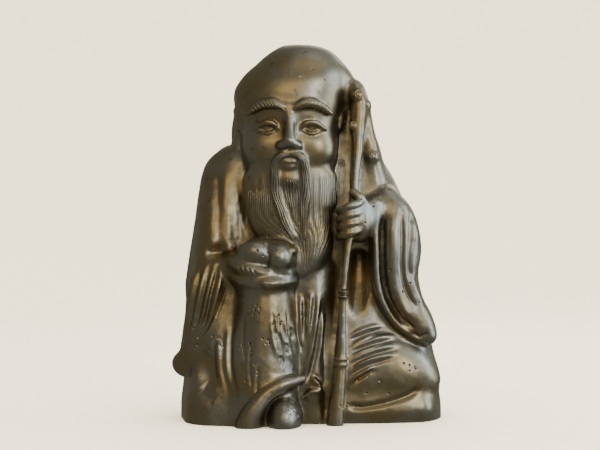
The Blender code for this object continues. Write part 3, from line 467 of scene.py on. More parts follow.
# The right hand, cupped under the peach on the raised knee.
def rightHand(form):
    form.limb(((-22.8, -9.0, 40.6, 3.2, 3.8), (-18.8, -12.0, 40.0, 3.2, 4.2),
               (-12.0, -13.6, 39.2, 2.6, 4.8)), blend=1.6)
    form.limb(((-19.4, -11.0, 42.6, 2.0, 2.6), (-17.8, -14.8, 41.2, 2.2, 3.6),
               (-14.4, -17.0, 40.0, 2.0, 3.8), (-10.4, -17.0, 39.2, 1.4, 3.4)), blend=1.6)
    form.ball((-8.0, -14.6, 39.4), (5.0, 4.6, 2.4), blend=1.4)


# The staff, standing against the robe: bamboo below, gnarled root above.
def staff(form):
    path = (
        (6.8, -17.4, -4, 2.4, 2.5), (7.4, -17.4, 4, 2.0, 2.2), (8.4, -17.0, 14, 1.6, 1.8),
        (8.9, -16.6, 24, 1.15, 1.5), (9.2, -16.2, 34, 0.95, 1.35), (9.9, -15.8, 42, 1.0, 1.35),
        (11.0, -15.0, 50, 1.1, 1.4), (12.2, -13.4, 58, 1.0, 1.3), (12.6, -11.6, 65, 1.1, 1.4),
        (13.2, -10.0, 71, 1.4, 1.7), (13.5, -8.8, 79, 1.9, 2.2), (13.7, -7.6, 84, 2.1, 2.4),
        (13.0, -6.6, 87.8, 1.6, 2.0),
    )
    backing = [(x, y + 2.4, z, w * 0.8, d + 0.8) for x, y, z, w, d in path]
    form.limb(backing, blend=1.4)
    form.limb(path, blend=0.6)
    # Two pairs of rings
    ring = figureSizes["staffRing"]
    for z, x, size in ((15.6, 8.5, 1.75), (17.0, 8.6, 1.7), (33.2, 9.15, 1.1), (34.5, 9.2, 1.05)):
        form.ball((x, -16.6, z), (size + ring, 2.0 + ring, 0.5), blend=0.4)
    # Web of metal between the staff and the head, and the root's slope behind
    form.limb(((11.5, -1, 66, 4, 5), (11, -0.5, 78, 4, 5), (10.5, -1, 86, 3.6, 4)), blend=2)
    form.limb(((4.5, -2.5, 94, 3.6, 5), (8.6, -3, 90.6, 3.4, 4.6), (11.6, -3.6, 86.4, 3.2, 4)),
              blend=2)
    form.limb(
        ((18.4, -2.4, 61, 3.6, 5.4), (16.9, -3.6, 70, 3.0, 4.4), (15.5, -4.0, 77, 2.4, 3.6),
         (14.6, -4.4, 84, 2.1, 3.0), (13.0, -5, 88.2, 1.8, 2.4)),
        blend=1.4,
    )
    # Knots of the root
    for place, radii, blend in (
        ((17.3, -7.4, 69.6), (1.7, 1.5, 1.7), 0.6), ((15.7, -6.4, 83.4), (1.4, 1.7, 1.6), 0.6),
        ((13.3, -8.8, 85.8), (1.9, 1.8, 1.9), 0.7), ((11.9, -10.2, 77.6), (1.1, 1.2, 1.3), 0.5),
    ):
        form.ball(place, radii, blend)


# The left hand, its four fingers closed round the staff.
def staffHand(form):
    form.limb(((17.6, -8, 55.4, 3.8, 4.6), (14.8, -11.4, 54, 3.8, 4.0)), blend=1.6)
    form.ball((13.7, -12.8, 52.6), (3.2, 4.5, 5.7), blend=1.3)
    for step in range(4):
        z = 48.4 + 2.3 * step
        form.limb(
            ((13.2, -16.2, z + 2.0, 1.15, 1.2), (11.2, -17.9, z + 1.3, 1.2, 1.25),
             (9.3, -17.3, z + 0.5, 1.1, 1.2), (8.3, -14.6, z, 1.0, 1.1)),
            blend=0.5,
        )
    form.limb(((15.2, -13.4, 56.6, 1.3, 1.4), (13.6, -15.2, 58.8, 1.2, 1.3),
               (11.6, -14.8, 60.2, 1.0, 1.1)), blend=0.6)


# The broad sleeve on the viewer's right, ending in a rounded corner.
def leftSleeve(form):
    form.limb(
        (
            (21.2, -6.0, 58.2, 3.8, 4.8), (23.4, -6.8, 53, 5.2, 6.0),
            (24.2, -7.4, 46, 6.0, 6.6), (24.0, -7.6, 38.5, 5.4, 6.2),
            (25.6, -7.8, 31.5, 5.0, 5.8), (29.0, -8.0, 25.8, 4.4, 5.0),
            (31.6, -8.0, 22.6, 2.8, 3.8),
        ),
        blend=1.4,
    )
    # Arched recess beside the staff, then the rolled edge of the sleeve's opening
    form.limb(((13.8, -13.2, 43.2, 2.5, 8.4), (13.7, -13.2, 38, 2.8, 7.4),
               (13.5, -13.2, 32, 2.8, 4.4), (13.2, -13.6, 27.0, 2.2, 1.4)), blend=0.8, cut=True)
    form.limb(
        (
            (17.4, -9.8, 57, 1.8, 3.6), (17.7, -10.6, 50, 1.5, 3.6), (17.9, -10.8, 44, 1.4, 3.6),
            (18.1, -10.8, 38, 1.4, 3.5), (19.3, -10.6, 32.4, 1.4, 3.3),
            (22.4, -10.2, 26.9, 1.3, 2.9), (26.2, -9.8, 23.5, 1.2, 2.6), (29.2, -9.2, 21.9, 1.1, 2.2),
        ),
        blend=1.0,
    )


# The beard: broad and smooth on the chest, then one long lock that ends beside the hand.
def beard(form):
    form.limb(
        (
            (-4.7, -10.6, 64.0, 12.4, 4.6), (-4.4, -11.0, 58.5, 12.4, 4.2),
            (-3.6, -11.2, 54.0, 11.4, 3.9), (-1.6, -11.4, 50.0, 8.8, 3.8),
            (0.6, -11.6, 46.4, 6.0, 3.7), (0.6, -12.0, 43.0, 3.8, 3.3),
            (-0.8, -12.6, 39.8, 1.6, 2.4),
        ),
        blend=1.6,
    )


# Two long locks that fall from under the nose and meet on the beard, at the same heights.
def moustache(form):
    form.ball((figureSizes["headMiddle"], -16.0, 70.3), (1.9, 1.2, 1.0), blend=0.7)
    fall = ((-16.8, 70.2, 0.7, 0.8), (-16.8, 69.6, 0.9, 1.0), (-16.2, 67.6, 1.1, 1.0),
            (-15.4, 63, 1.2, 0.9), (-15.1, 58, 1.2, 0.8), (-15.0, 53, 1.0, 0.8), (-14.9, 48.6, 0.7, 0.6))
    for across in ((-5.3, -6.9, -8.3, -8.4, -7.6, -5.9, -3.6), (-4.1, -2.2, -0.9, -0.6, -0.7, -1.0, -0.9)):
        form.limb([(x,) + row for x, row in zip(across, fall)], blend=0.7)


# A calm, regular face under a high bald dome.
def head(form):
    form.stack(
        (
            (58, -14.5, 5.1, -12.4, 5.0), (62, -16.2, 6.8, -14.0, 8.0),
            (67, -17.4, 8.0, -15.2, 10.6), (73, -18.2, 8.8, -15.7, 12.2),
            (79, -18.8, 9.4, -15.8, 12.9), (85, -19.8, 10.6, -15.9, 13.0),
            (88, -19.5, 11.3, -15.5, 12.7), (90.4, -18.1, 11.5, -14.7, 11.9),
            (92.6, -16.2, 11.0, -13.5, 10.8), (94.6, -13.9, 9.8, -12.0, 9.3),
            (96.6, -11.8, 8.3, -9.8, 7.3), (98.4, -9.3, 6.2, -7.4, 5.0),
            (99.5, -7.4, 3.8, -5.2, 2.8), (100, -6.2, 1.6, -3.6, 1.4),
        ),
        power=2.25,
        blend=1.2,
    )
    middle = figureSizes["headMiddle"]
    # Eyes half way down the head, nose and mouth on regular thirds of the face
    for side in (-1, 1):
        def at(across, y, z, *rest):
            return (middle + side * across, y, z) + rest

        form.ball(at(6.8, -10.9, 71.6), (4.6, 4.2, 4.4), blend=4)
        form.ball(at(5.9, -18.0, 77.2), (4.2, 3.1, 2.7), blend=1.8, cut=True)
        form.ball(at(5.9, -12.4, 77.2), (2.9, 2.8, 2.2), blend=0.4)
        form.limb((at(2.8, -15.0, 76.6, 0.4, 0.6), at(4.2, -15.6, 77.9, 0.7, 0.75),
                   at(6.4, -15.5, 78.2, 0.85, 0.8), at(9.3, -13.8, 76.7, 0.5, 0.6)), blend=0.4)
        form.limb((at(3.0, -14.8, 76.6, 0.35, 0.5), at(5.9, -15.1, 75.4, 0.4, 0.6),
                   at(9.0, -13.8, 76.7, 0.35, 0.5)), blend=0.4)
        form.limb((at(1.9, -15.9, 82.3, 0.9, 1.0), at(4.4, -16.0, 83.2, 1.3, 1.1),
                   at(7.6, -15.1, 82.8, 1.2, 1.1), at(10.8, -13.2, 80.8, 0.7, 0.9)), blend=0.8)
        form.ball(at(2.0, -16.6, 72.2), (1.4, 1.7, 1.15), blend=0.8)
    form.limb(((middle, -14.8, 82.0, 1.5, 1.5), (middle, -16.3, 77, 1.2, 1.6),
               (middle, -18.0, 73.2, 1.7, 1.8)), blend=1.4)
    # Mouth and chin
    form.ball((middle, -13.2, 68.4), (4.8, 3.2, 3.6), blend=2.2)
    form.ball((middle, -13.6, 63.6), (3.6, 2.8, 2.3), blend=1.6)
    form.limb(((middle - 3.2, -15.2, 67.5, 0.3, 0.5), (middle - 1.1, -16.2, 68.1, 0.6, 0.7),
               (middle, -16.3, 67.95, 0.55, 0.7), (middle + 1.1, -16.2, 68.1, 0.6, 0.7),
               (middle + 3.2, -15.2, 67.5, 0.3, 0.5)), blend=0.3)
    form.limb(((middle - 2.8, -15.2, 67.2, 0.3, 0.5), (middle, -16.1, 66.75, 0.75, 0.7),
               (middle + 2.8, -15.2, 67.2, 0.3, 0.5)), blend=0.3)


# Long ears, flat against the head, with heavy lobes.
def ears(form):
    rim = (
        (-17.9, -6.4, 77.4, 0.8, 1.0), (-18.2, -6.2, 80.2, 0.9, 1.1), (-18.6, -4.2, 82.0, 0.9, 1.2),
        (-19.0, -1.8, 80.9, 0.9, 1.2), (-19.5, -0.8, 77.0, 0.9, 1.2), (-19.4, -2.0, 72.0, 0.9, 1.2),
        (-18.8, -4.0, 67.4, 1.2, 1.7), (-18.6, -4.6, 65.0, 1.2, 1.6),
    )
    form.limb(rim, blend=0.7)
    form.limb(mirrored(rim), blend=0.7)
    for side in (-1, 1):
        x = figureSizes["headMiddle"] + side * 13.8
        form.ball((x, -3.0, 74.5), (1.2, 2.6, 7.0), blend=0.8)


# How far folds, hems and locks raise or sink the points of each shape, view by view.
def drapery(points, form):
    cloth = Relief(points)
    # Crease beside the right arm, and the robe's fullness on both sides of it
    cloth.line(((-24.0, 66, 1.0), (-23.6, 58, 1.5), (-23.2, 51, 1.6), (-22.8, 44, 1.4)), -0.9)
    cloth.fold(((-19.4, 62, 1.7), (-18.8, 55, 1.9), (-18.6, 48, 1.7)), 0.4)
    # Cloth over the shin: short wrinkles on its right, long soft folds on its left
    wrinkles = ((29, 17), (32, 14.4), (27, 20), (31, 15.4), (25.5, 13.6), (28, 17.6))
    for k, (top, low) in enumerate(wrinkles):
        x = -9.4 + 1.15 * k
        cloth.fold(((x, top, 0.4), (x + 0.3, 0.6 * top + 0.4 * low, 0.5),
                    (x + 0.9, 0.3 * top + 0.7 * low, 0.5), (x + 2.0, low, 0.4)), 0.42)
    for x, z in ((-8.2, 24.6), (-5.6, 21.4), (-7.0, 18.2), (-4.4, 25.2)):
        cloth.line(((x, z, 0.35), (x + 0.7, z - 1.4, 0.5), (x + 0.5, z - 3.0, 0.35)), -0.4)
    for x, top in ((-16.4, 28), (-14.6, 22), (-12.6, 16)):
        cloth.line(((x, top, 0.35), (x - 0.3, top - 6, 0.45), (x + 0.3, top - 12, 0.35)), -0.28)
    # Faint hanging folds on the breast beside the beard
    for k in range(4):
        x = -21.0 + 1.9 * k
        cloth.line(((x, 57 - k, 0.6), (x + 0.3, 52, 0.75), (x + 0.9, 47.5, 0.6)), 0.14)
    for k in range(3):
        x = -17.6 - 2.2 * k
        cloth.fold(((x, 31 - 5 * k, 0.9), (x - 0.8, 22 - k, 1.0), (x - 0.6, 14, 1.0),
                    (x + 1.4, 5.5 + k, 0.8)), 0.6, -1)
    cloth.line(((-28.0, 9.5, 1.8), (-26.0, 7.4, 1.9), (-24.0, 6.2, 1.5)), -0.7)
    # Cloth between the legs: narrow folds that gather towards the hem
    cloth.fold(((-1.7, 34.5, 0.55), (-1.8, 28, 0.6), (-1.6, 20, 0.5)), 0.7)
    cloth.fold(((1.1, 35, 0.6), (0.5, 28, 0.65), (-0.2, 21, 0.55)), 0.7)
    cloth.fold(((3.3, 34, 0.65), (2.3, 27, 0.75), (1.2, 20, 0.8), (-0.2, 14, 0.75),
                (-2.0, 8, 0.6)), 1.0)
    cloth.fold(((4.6, 30, 0.7), (3.9, 22, 0.75), (3.0, 15, 0.7)), 0.6)
    cloth.line(((4.9, 33, 1.0), (4.9, 22, 1.2), (4.8, 10, 1.1), (4.6, 0, 1.0)), -0.7)
    cloth.fold(((-1.4, 6.4, 0.7), (1.2, 8.6, 0.8), (4.0, 8.2, 0.7)), 0.7)
    cloth.fold(((0.6, 12.4, 0.7), (2.8, 10.4, 0.7), (4.4, 6.6, 0.6)), 0.6)
    # Folded leg: folds that fan out from the staff, and a smooth roll below them
    for k, (far, up) in enumerate(((21.0, 3.6), (24.5, 3.9), (25.5, 4.6), (24.5, 5.4), (18.5, 5.2))):
        z, run = 21.8 - 3.0 * k, far - 10.2
        cloth.fold(((10.2, z, 0.6), (10.2 + 0.3 * run, z + 0.52 * up, 0.75),
                    (10.2 + 0.65 * run, z + 0.86 * up, 0.75), (far, z + up, 0.6)), 0.6, -1)
    for k, far in enumerate((18.5, 20.5, 20.0, 18.0)):
        z = 20.2 - 3.0 * k
        cloth.fold(((11.4, z, 0.35), (15, z + 1.7 + 0.2 * k, 0.4), (far, z + 3.0 + 0.5 * k, 0.35)),
                   0.3, -1)
    cloth.line(((10.5, 4.8, 0.8), (14, 4.3, 0.8), (20, 5.3, 0.8), (26, 7.0, 0.8), (30, 9.2, 0.8)),
               -0.8)

    sleeves = Relief(points)
    for k in range(4):
        x = -28.4 + 2.3 * k
        sleeves.fold(((x, 42.8, 0.75), (x - 1.3 - 0.3 * k, 34, 0.85), (x - 2.7 - 0.5 * k, 26, 0.85),
                      (-32.4 + 0.9 * k, 18.4, 0.7)), 1.1, -1)
    sleeves.fold(((-19.6, 36.6, 0.65), (-21.2, 31, 0.7), (-23.6, 25, 0.7), (-26.6, 20, 0.6)), 0.8, -1)
    # The broad sleeve: one main ridge, grooves that follow it, a dark mouth at the cuff
    sleeves.line(((22.3, 55, 1.3), (22.0, 46, 1.5), (22.2, 38, 1.4), (24.4, 31, 1.3),
                  (27.8, 26.4, 1.0)), 0.7)
    sleeves.line(((24.7, 56, 0.5), (24.7, 48, 0.65), (24.6, 41, 0.65), (25.6, 35, 0.6),
                  (28.6, 29.6, 0.5)), -0.8)
    sleeves.line(((27.0, 55, 0.5), (27.0, 49, 0.6), (26.5, 42, 0.6), (27.2, 37, 0.5)), -0.6)
    sleeves.fold(((26.6, 39, 0.9), (28.6, 33.4, 1.0), (31.0, 28.4, 0.9)), 0.6)
    sleeves.fold(((26.6, 54, 0.9), (28.4, 49.4, 1.0), (28.8, 44, 0.9)), 0.5)
    sleeves.line(((19.9, 56, 0.5), (19.7, 46, 0.55), (20.0, 38, 0.55), (21.4, 32.4, 0.55),
                  (24.8, 27.0, 0.5), (28.6, 24.2, 0.45)), -0.9)
    sleeves.line(((27.4, 23.6, 0.5), (29.4, 22.2, 0.6), (31.8, 23.4, 0.5)), -0.7)

    locks = Relief(points)
    locks.pleats(((38, -2.4, 1.4), (44, -4.4, 4.4), (49, -8.4, 7.2), (54, -15.4, 8.4), (64, -17, 8.8)),
                 figureSizes["beardLocks"], figureSizes["lockDepth"])

    cleft = Relief(points)
    cleft.line(((-10.6, 47.4, 0.5), (-10.1, 44, 0.55), (-10.8, 40, 0.5)), -0.5)
    fingers = Relief(points)
    for k in range(4):
        x = -17.8 + 1.3 * k
        fingers.line(((x, 41.4 - 0.3 * k, 0.25), (-17.2 + 1.3 * k, 39.4 - 0.2 * k, 0.25)), -0.35)

    # The hidden sides: long folds that fall from the shoulders and spread at the base
    back = Relief(points)
    for k, top in enumerate((46, 57, 50, 58, 52, 47)):
        s = (k - 2.5) / 2.5
        back.fold(((1.0 + (26 - 0.25 * top) * s, top, 0.8), (1.0 + 16.5 * s, 38, 1.9),
                   (0.8 + 22 * s, 22, 2.4), (0.6 + 26 * s, 3, 1.8)), 0.8, 1 if s > 0 else -1)
    flank = Relief(points, (1, 2))
    for k in range(3):
        y = -2 + 5.0 * k
        flank.fold(((y, 58 - 6 * k, 1.2), (y + 1.0, 42, 1.6), (y + 0.4, 24, 1.8), (y - 1.6, 5, 1.5)), 0.6)
    flank.height -= 0.15
    return (
        (clothShape, 1, -1, cloth.height), (sleeveShape, 1, -1, sleeves.height),
        (beardShape, 1, -1, locks.height), (peachShape, 1, -1, cleft.height),
        (handShape, 1, -1, fingers.height), (clothShape, 1, 1, back.height),
        (clothShape, 0, -1, flank.height), (clothShape, 0, 1, flank.height),
    )


# Moves the points along their normals by the carving of the shape they lie on.
def carve(points, normals, form):
    moved = points.copy()
    for group, axis, side, height in drapery(points, form):
        facing = form.belongs(points, [group]) * ramp(side * normals[:, axis], 0.1, 0.55)
        moved += normals * (figureSizes["carving"] * height * facing)[:, None]
    return moved


def buildForm(cell):
    form = Form((-39, -30, -figureSizes["belowFloor"]), (39, 21, 103), cell)
    for group, shape in (
        (clothShape, robe), (headShape, head), (earShape, ears), (clothShape, legs),
        (sleeveShape, rightSleeve), (sleeveShape, leftSleeve), (beardShape, beard),
        (lockShape, moustache), (hemShape, hemAndShoe), (peachShape, peach),
        (handShape, rightHand), (staffShape, staff), (handShape, staffHand),
    ):
        form.group = group
        shape(form)
    form.field[:, :, :1] = farOff
    form.field[[0, -1]] = farOff
    form.field[:, [0, -1]] = farOff
    return form


# Evens the skin: each point moves part of the way to the middle of its neighbours
def relax(points, faces, amount):
    start, end = faces.ravel(), np.roll(faces, -1, axis=1).ravel()
    many = len(points)
    counts = np.bincount(start, minlength=many) + np.bincount(end, minlength=many)
    sums = [np.bincount(start, row[end], many) + np.bincount(end, row[start], many) for row in points.T]
    middles = np.stack(sums, 1) / counts[:, None]
    return points + (middles - points) * np.reshape(amount, (-1, 1))


def opened(mesh):
    work = bmesh.new()
    work.from_mesh(mesh)
    return work


def closed(work, mesh):
    work.to_mesh(mesh)
    work.free()


def linked(name, data):
    thing = bpy.data.objects.new(name, data)
    bpy.context.scene.collection.objects.link(thing)
    return thing


# Drops the small closed bubbles inside the metal
def keepLargest(mesh):
    work = opened(mesh)
    left = set(work.verts)
    pieces = []
    while left:
        piece, queue = [], [left.pop()]
        while queue:
            vert = queue.pop()
            piece.append(vert)
            for edge in vert.link_edges:
                other = edge.other_vert(vert)
                if other in left:
                    left.remove(other)
                    queue.append(other)
        pieces.append(piece)
    pieces.sort(key=len)
    for piece in pieces[:-1]:
        bmesh.ops.delete(work, geom=piece, context="VERTS")
    closed(work, mesh)


# Points and normals of a mesh, in shares, where the form was worked out
def meshNumbers(mesh):
    points = np.empty(len(mesh.vertices) * 3)
    mesh.vertices.foreach_get("co", points)
    normals = np.empty(len(mesh.vertices) * 3)
    mesh.vertex_normals.foreach_get("vector", normals)
    return points.reshape(-1, 3), normals.reshape(-1, 3)


def evaluated(thing):
    graph = bpy.context.evaluated_depsgraph_get()
    return bpy.data.meshes.new_from_object(thing.evaluated_get(graph))


# The casting's own unevenness, and the small pits and punch marks in it
skinSizes = {
    "waves": ((0.16, 0.11), (0.42, 0.055), (0.95, 0.035)),  # how often per share, how high
    "faceShare": 0.35,
    "flower": (-13.5, 29.9, 1.3, 6, 0.36),  # x, z, ring, marks, radius of the middle mark
    "petal": 0.9,  # the outer marks, as a share of the middle one
    # x, z, spread and count of each patch of pits
    "clusters": ((-10.2, 21.6, 1.2, 7), (-15.4, 20.4, 1.6, 8), (-13.4, 15.4, 1.8, 7),
                 (-4.0, 4.6, 2.0, 12), (-11.0, 45.8, 2.4, 8), (-8.0, 27.0, 2.0, 7),
                 (-17.0, 9.0, 2.5, 6), (27.5, 14.0, 3.0, 8), (24.0, 36.0, 5.0, 8),
                 (-27.0, 24.0, 4.0, 6), (16.0, 9.0, 5.0, 8), (-2.0, 95.0, 7.0, 6),
                 (13.0, 56.0, 6.0, 5), (9.0, 5.0, 1.5, 5)),
    "gathered": 0.6,  # the share of the spread within which most pits of a patch lie
    "lowest": 1.5,  # no pit lies nearer the floor
    "backPits": 34,
    "backAcross": (-24, 24),
    "backHeights": (4, 92),
    "pitRadius": (0.18, 0.36),
    # Depth, the raised rim, its place and its width, in radii of the pit
    "pitDepth": 0.75,
    "pitRim": 0.05,
    "rimAt": 1.15,
    "rimWidth": 0.25,
    "rimEnd": 1.8,
    # how strongly a pit's depth darkens its colour, as painted shade with patina
    "pitDark": 1.6,
    "fineReach": (1.25, 0.15),  # finer faces reach this share of the radius, and this much more
    "fineCuts": 3,
    "steepest": 0.3,  # a wall more turned away from the view than this gets no pit
    "seed": 11,
}


def castSkin(points, form):
    height = np.zeros(len(points))
    for often, rise in skinSizes["waves"]:
        spots = points * often
        height += rise * np.array([noise.noise(Vector(spot)) for spot in spots])
    face = form.belongs(points, [headShape, handShape, beardShape, lockShape])
    return height * (1 - (1 - skinSizes["faceShare"]) * face)


# Each mark's place in the front view, its radius, and 1 for the front or -1 for the back
def drawMarks():
    rng = np.random.default_rng(skinSizes["seed"])
    low, high = skinSizes["pitRadius"]
    x, z, ring, marks, radius = skinSizes["flower"]
    drawn = [(x, z, radius, 1)]
    for k in range(marks):
        turn = 2 * math.pi * (k + 0.25) / marks
        drawn.append((x + ring * math.cos(turn), z + ring * math.sin(turn),
                      radius * skinSizes["petal"], 1))
    for x, z, spread, count in skinSizes["clusters"]:
        wide = spread * skinSizes["gathered"]
        for _ in range(count):
            drawn.append((x + rng.normal(0, wide), max(skinSizes["lowest"], z + rng.normal(0, wide)),
                          rng.uniform(low, high), 1))
    for _ in range(skinSizes["backPits"]):
        drawn.append((rng.uniform(*skinSizes["backAcross"]), rng.uniform(*skinSizes["backHeights"]),
                      rng.uniform(low, high), -1))
    return drawn


def sinkPits(mesh):
    work = opened(mesh)
    tree = BVHTree.FromBMesh(work)
    pits = []
    for x, z, radius, side in drawMarks():
        spot, normal = tree.ray_cast(Vector((x, -viewStart * side, z)), Vector((0, side, 0)))[:2]
        if spot and -normal.y * side > skinSizes["steepest"]:
            pits.append((np.array(spot), np.array(normal), radius))
    # Finer faces round each pit, then the pit itself
    points = np.array([vert.co[:] for vert in work.verts])
    wider, more = skinSizes["fineReach"]
    near = np.zeros(len(points), bool)
    for spot, normal, radius in pits:
        near |= ((points - spot) ** 2).sum(1) < (radius * wider + more) ** 2
    work.verts.ensure_lookup_table()
    edges = {edge for index in np.nonzero(near)[0] for edge in work.verts[index].link_edges}
    bmesh.ops.subdivide_edges(work, edges=list(edges), cuts=skinSizes["fineCuts"], use_grid_fill=True)
    bmesh.ops.triangulate(work, faces=work.faces[:])
    points = np.array([vert.co[:] for vert in work.verts])
    moved = points.copy()
    # How deep each point lies in a pit, kept as a mark that darkens the colour as painted shade with
    # patina
    sunk = np.zeros(len(points))
    for spot, normal, radius in pits:
        away = np.sqrt(((points - spot) ** 2).sum(1)) / radius
        close = away < skinSizes["rimEnd"]
        bowl = np.clip(1 - away[close] ** 2, 0, 1) ** 0.8
        rim = np.exp(-((away[close] - skinSizes["rimAt"]) / skinSizes["rimWidth"]) ** 2)
        depth = -skinSizes["pitDepth"] * bowl + skinSizes["pitRim"] * rim
        moved[close] += normal * (depth * radius)[:, None]
        sunk[close] = np.maximum(sunk[close], np.clip(-depth * skinSizes["pitDark"], 0, 1))
    work.verts.ensure_lookup_table()
    for index in np.nonzero((moved != points).any(1) & (points[:, 2] > 0.01))[0]:
        work.verts[index].co = moved[index]
    closed(work, mesh)
    mesh.attributes.new("pitted", "FLOAT", "POINT").data.foreach_set("value", sunk.astype(np.float32))
    print("pits", len(pits))


def makeFigure():
    form = buildForm(figureSizes["cell"])
    points, faces = form.skin()
    soft = form.belongs(points, [clothShape, sleeveShape, staffShape, hemShape])
    smooth = figureSizes["evenHard"] + figureSizes["evenSofter"] * soft
    for _ in range(figureSizes["evenRounds"]):
        points = relax(points, faces, smooth * figureSizes["evenShare"])
    cloth = form.belongs(points, [clothShape])
    for _ in range(figureSizes["clothRounds"]):
        points = relax(points, faces, cloth * figureSizes["clothShare"])
    print("form worked out:", len(faces), "faces")
    mesh = bpy.data.meshes.new("sageCast")
    mesh.from_pydata(points.tolist(), [], faces.tolist())
    figure = linked("sageCast", mesh)
    keepLargest(mesh)
    points, normals = meshNumbers(mesh)
    moved = carve(points, normals, form) + normals * castSkin(points, form)[:, None]
    mesh.vertices.foreach_set("co", moved.ravel())
    mesh.update()
    thin = figure.modifiers.new("thin", "DECIMATE")
    thin.ratio = min(1.0, figureSizes["triangles"] / (2 * len(mesh.polygons)))
    thin.use_collapse_triangulate = True
    figure.data = evaluated(figure)
    figure.modifiers.clear()
    # The flat underside
    work = opened(figure.data)
    everything = work.verts[:] + work.edges[:] + work.faces[:]
    bmesh.ops.bisect_plane(work, geom=everything, dist=1e-5, plane_co=(0, 0, 0),
                           plane_no=(0, 0, 1), clear_inner=True)
    rim = [edge for edge in work.edges if edge.is_boundary]
    bmesh.ops.holes_fill(work, edges=rim, sides=0)
    bmesh.ops.triangulate(work, faces=work.faces[:])
    bmesh.ops.recalc_face_normals(work, faces=work.faces[:])
    closed(work, figure.data)
    sinkPits(figure.data)
    for face in figure.data.polygons:
        face.use_smooth = True
    return figure, form


# A new node's outputs. Its inputs are linked to other nodes' outputs or set to plain values.
def addNode(tree, kind, inputs=(), **settings):
    node = tree.nodes.new(kind)
    for name, value in settings.items():
        setattr(node, name, value)
    for socket, value in dict(inputs).items():
        if isinstance(value, bpy.types.NodeSocket):
            tree.links.new(value, node.inputs[socket])
        else:
            node.inputs[socket].default_value = value
    return node.outputs


# Strands that lie on the metal's skin. The guides are drawn in the front view and pushed back
# onto the figure by a raycast, then given a round section that thins towards both ends.
strandSizes = {
    "beardStrands": 44,
    "beardRadius": 0.17,
    "lockStrands": 4,
    "tuftStrands": 5,
    "lockRadius": 0.285,
    "browStrands": 11,
    "browRadius": 0.22,
    "curlRadius": 0.24,
    "eyeRadius": 0.11,
    "sunk": 0.06,
    "sides": 8,
    "taper": ((0, 0.35), (0.18, 1.0), (0.7, 0.9), (1, 0.2)),  # along the strand, share of radius
}


def strandTree(name):
    tree = bpy.data.node_groups.new(name, "GeometryNodeTree")
    face = tree.interface
    face.new_socket("Guides", in_out="INPUT", socket_type="NodeSocketGeometry")
    sockets = {}
    for label, kind in (("Figure", "NodeSocketObject"), ("Strand radius", "NodeSocketFloat"),
                        ("Sunk", "NodeSocketFloat"), ("Sides", "NodeSocketInt"),
                        ("Metal", "NodeSocketMaterial")):
        sockets[label] = face.new_socket(label, in_out="INPUT", socket_type=kind).identifier
    face.new_socket("Strands", in_out="OUTPUT", socket_type="NodeSocketGeometry")
    given = addNode(tree, "NodeGroupInput")
    # Where each guide point lands on the figure, and a little way into its skin
    target = addNode(tree, "GeometryNodeObjectInfo", {"Object": given["Figure"]},
                     transform_space="RELATIVE")
    curve = addNode(tree, "GeometryNodeMeshToCurve", {"Mesh": given["Guides"]})
    spot = addNode(tree, "GeometryNodeInputPosition")
    ray = addNode(tree, "GeometryNodeRaycast",
                  {"Target Geometry": target["Geometry"], "Source Position": spot[0],
                   "Ray Direction": (0, 1, 0), "Ray Length": 100})
    minus = addNode(tree, "ShaderNodeMath", {0: given["Sunk"], 1: -1}, operation="MULTIPLY")
    inward = addNode(tree, "ShaderNodeVectorMath", {0: ray["Hit Normal"], "Scale": minus[0]},
                     operation="SCALE")
    place = addNode(tree, "ShaderNodeVectorMath", {0: ray["Hit Position"], 1: inward[0]})
    lay = addNode(tree, "GeometryNodeSetPosition",
                  {"Geometry": curve["Curve"], "Selection": ray["Is Hit"], "Position": place[0]})
    # The round section, thinner at both ends
    along = addNode(tree, "GeometryNodeSplineParameter")
    taper = addNode(tree, "ShaderNodeFloatCurve", {"Value": along["Factor"]})
    mapping = taper[0].node.mapping
    points = mapping.curves[0].points
    points[0].location, points[1].location = strandSizes["taper"][0], strandSizes["taper"][-1]
    for stop in strandSizes["taper"][1:-1]:
        points.new(*stop)
    mapping.update()
    size = addNode(tree, "ShaderNodeMath", {0: taper[0], 1: given["Strand radius"]},
                   operation="MULTIPLY")
    radius = addNode(tree, "GeometryNodeSetCurveRadius",
                     {"Curve": lay["Geometry"], "Radius": size[0]})
    ring = addNode(tree, "GeometryNodeCurvePrimitiveCircle",
                   {"Radius": 1, "Resolution": given["Sides"]})
    tube = addNode(tree, "GeometryNodeCurveToMesh",
                   {"Curve": radius[0], "Profile Curve": ring[0], "Fill Caps": True})
    # Where the sweep has its own scale, the section's radius goes in there
    inputs = tube[0].node.inputs
    if "Scale" in inputs:
        tree.links.new(size[0], inputs["Scale"])
    smooth = addNode(tree, "GeometryNodeSetShadeSmooth", {0: tube[0]})
    real = addNode(tree, "GeometryNodeRealizeInstances", {0: smooth[0]})
    coat = addNode(tree, "GeometryNodeSetMaterial",
                   {"Geometry": real[0], "Material": given["Metal"]})
    addNode(tree, "NodeGroupOutput", {0: coat[0]})
    return tree, sockets


# Each path is a run of x, z places in the front view
def makeStrands(name, paths, radius, figure, metal):
    verts, edges = [], []
    for path in paths:
        start = len(verts)
        verts += [(x, -viewStart, z) for x, z in path]
        edges += [(start + k, start + k + 1) for k in range(len(path) - 1)]
    guides = bpy.data.meshes.new(name)
    guides.from_pydata(verts, edges, [])
    strands = linked(name, guides)
    tree, sockets = strandTree(name + "Tree")
    grow = strands.modifiers.new("grow", "NODES")
    grow.node_group = tree
    for label, value in (("Figure", figure), ("Strand radius", radius), ("Sunk", strandSizes["sunk"]),
                         ("Sides", strandSizes["sides"]), ("Metal", metal)):
        grow[sockets[label]] = value
    strands.data = evaluated(strands)
    strands.modifiers.clear()
    work = opened(strands.data)
    bmesh.ops.triangulate(work, faces=work.faces[:])
    bmesh.ops.recalc_face_normals(work, faces=work.faces[:])
    closed(work, strands.data)
    print(name, len(strands.data.polygons), "faces")
    return strands


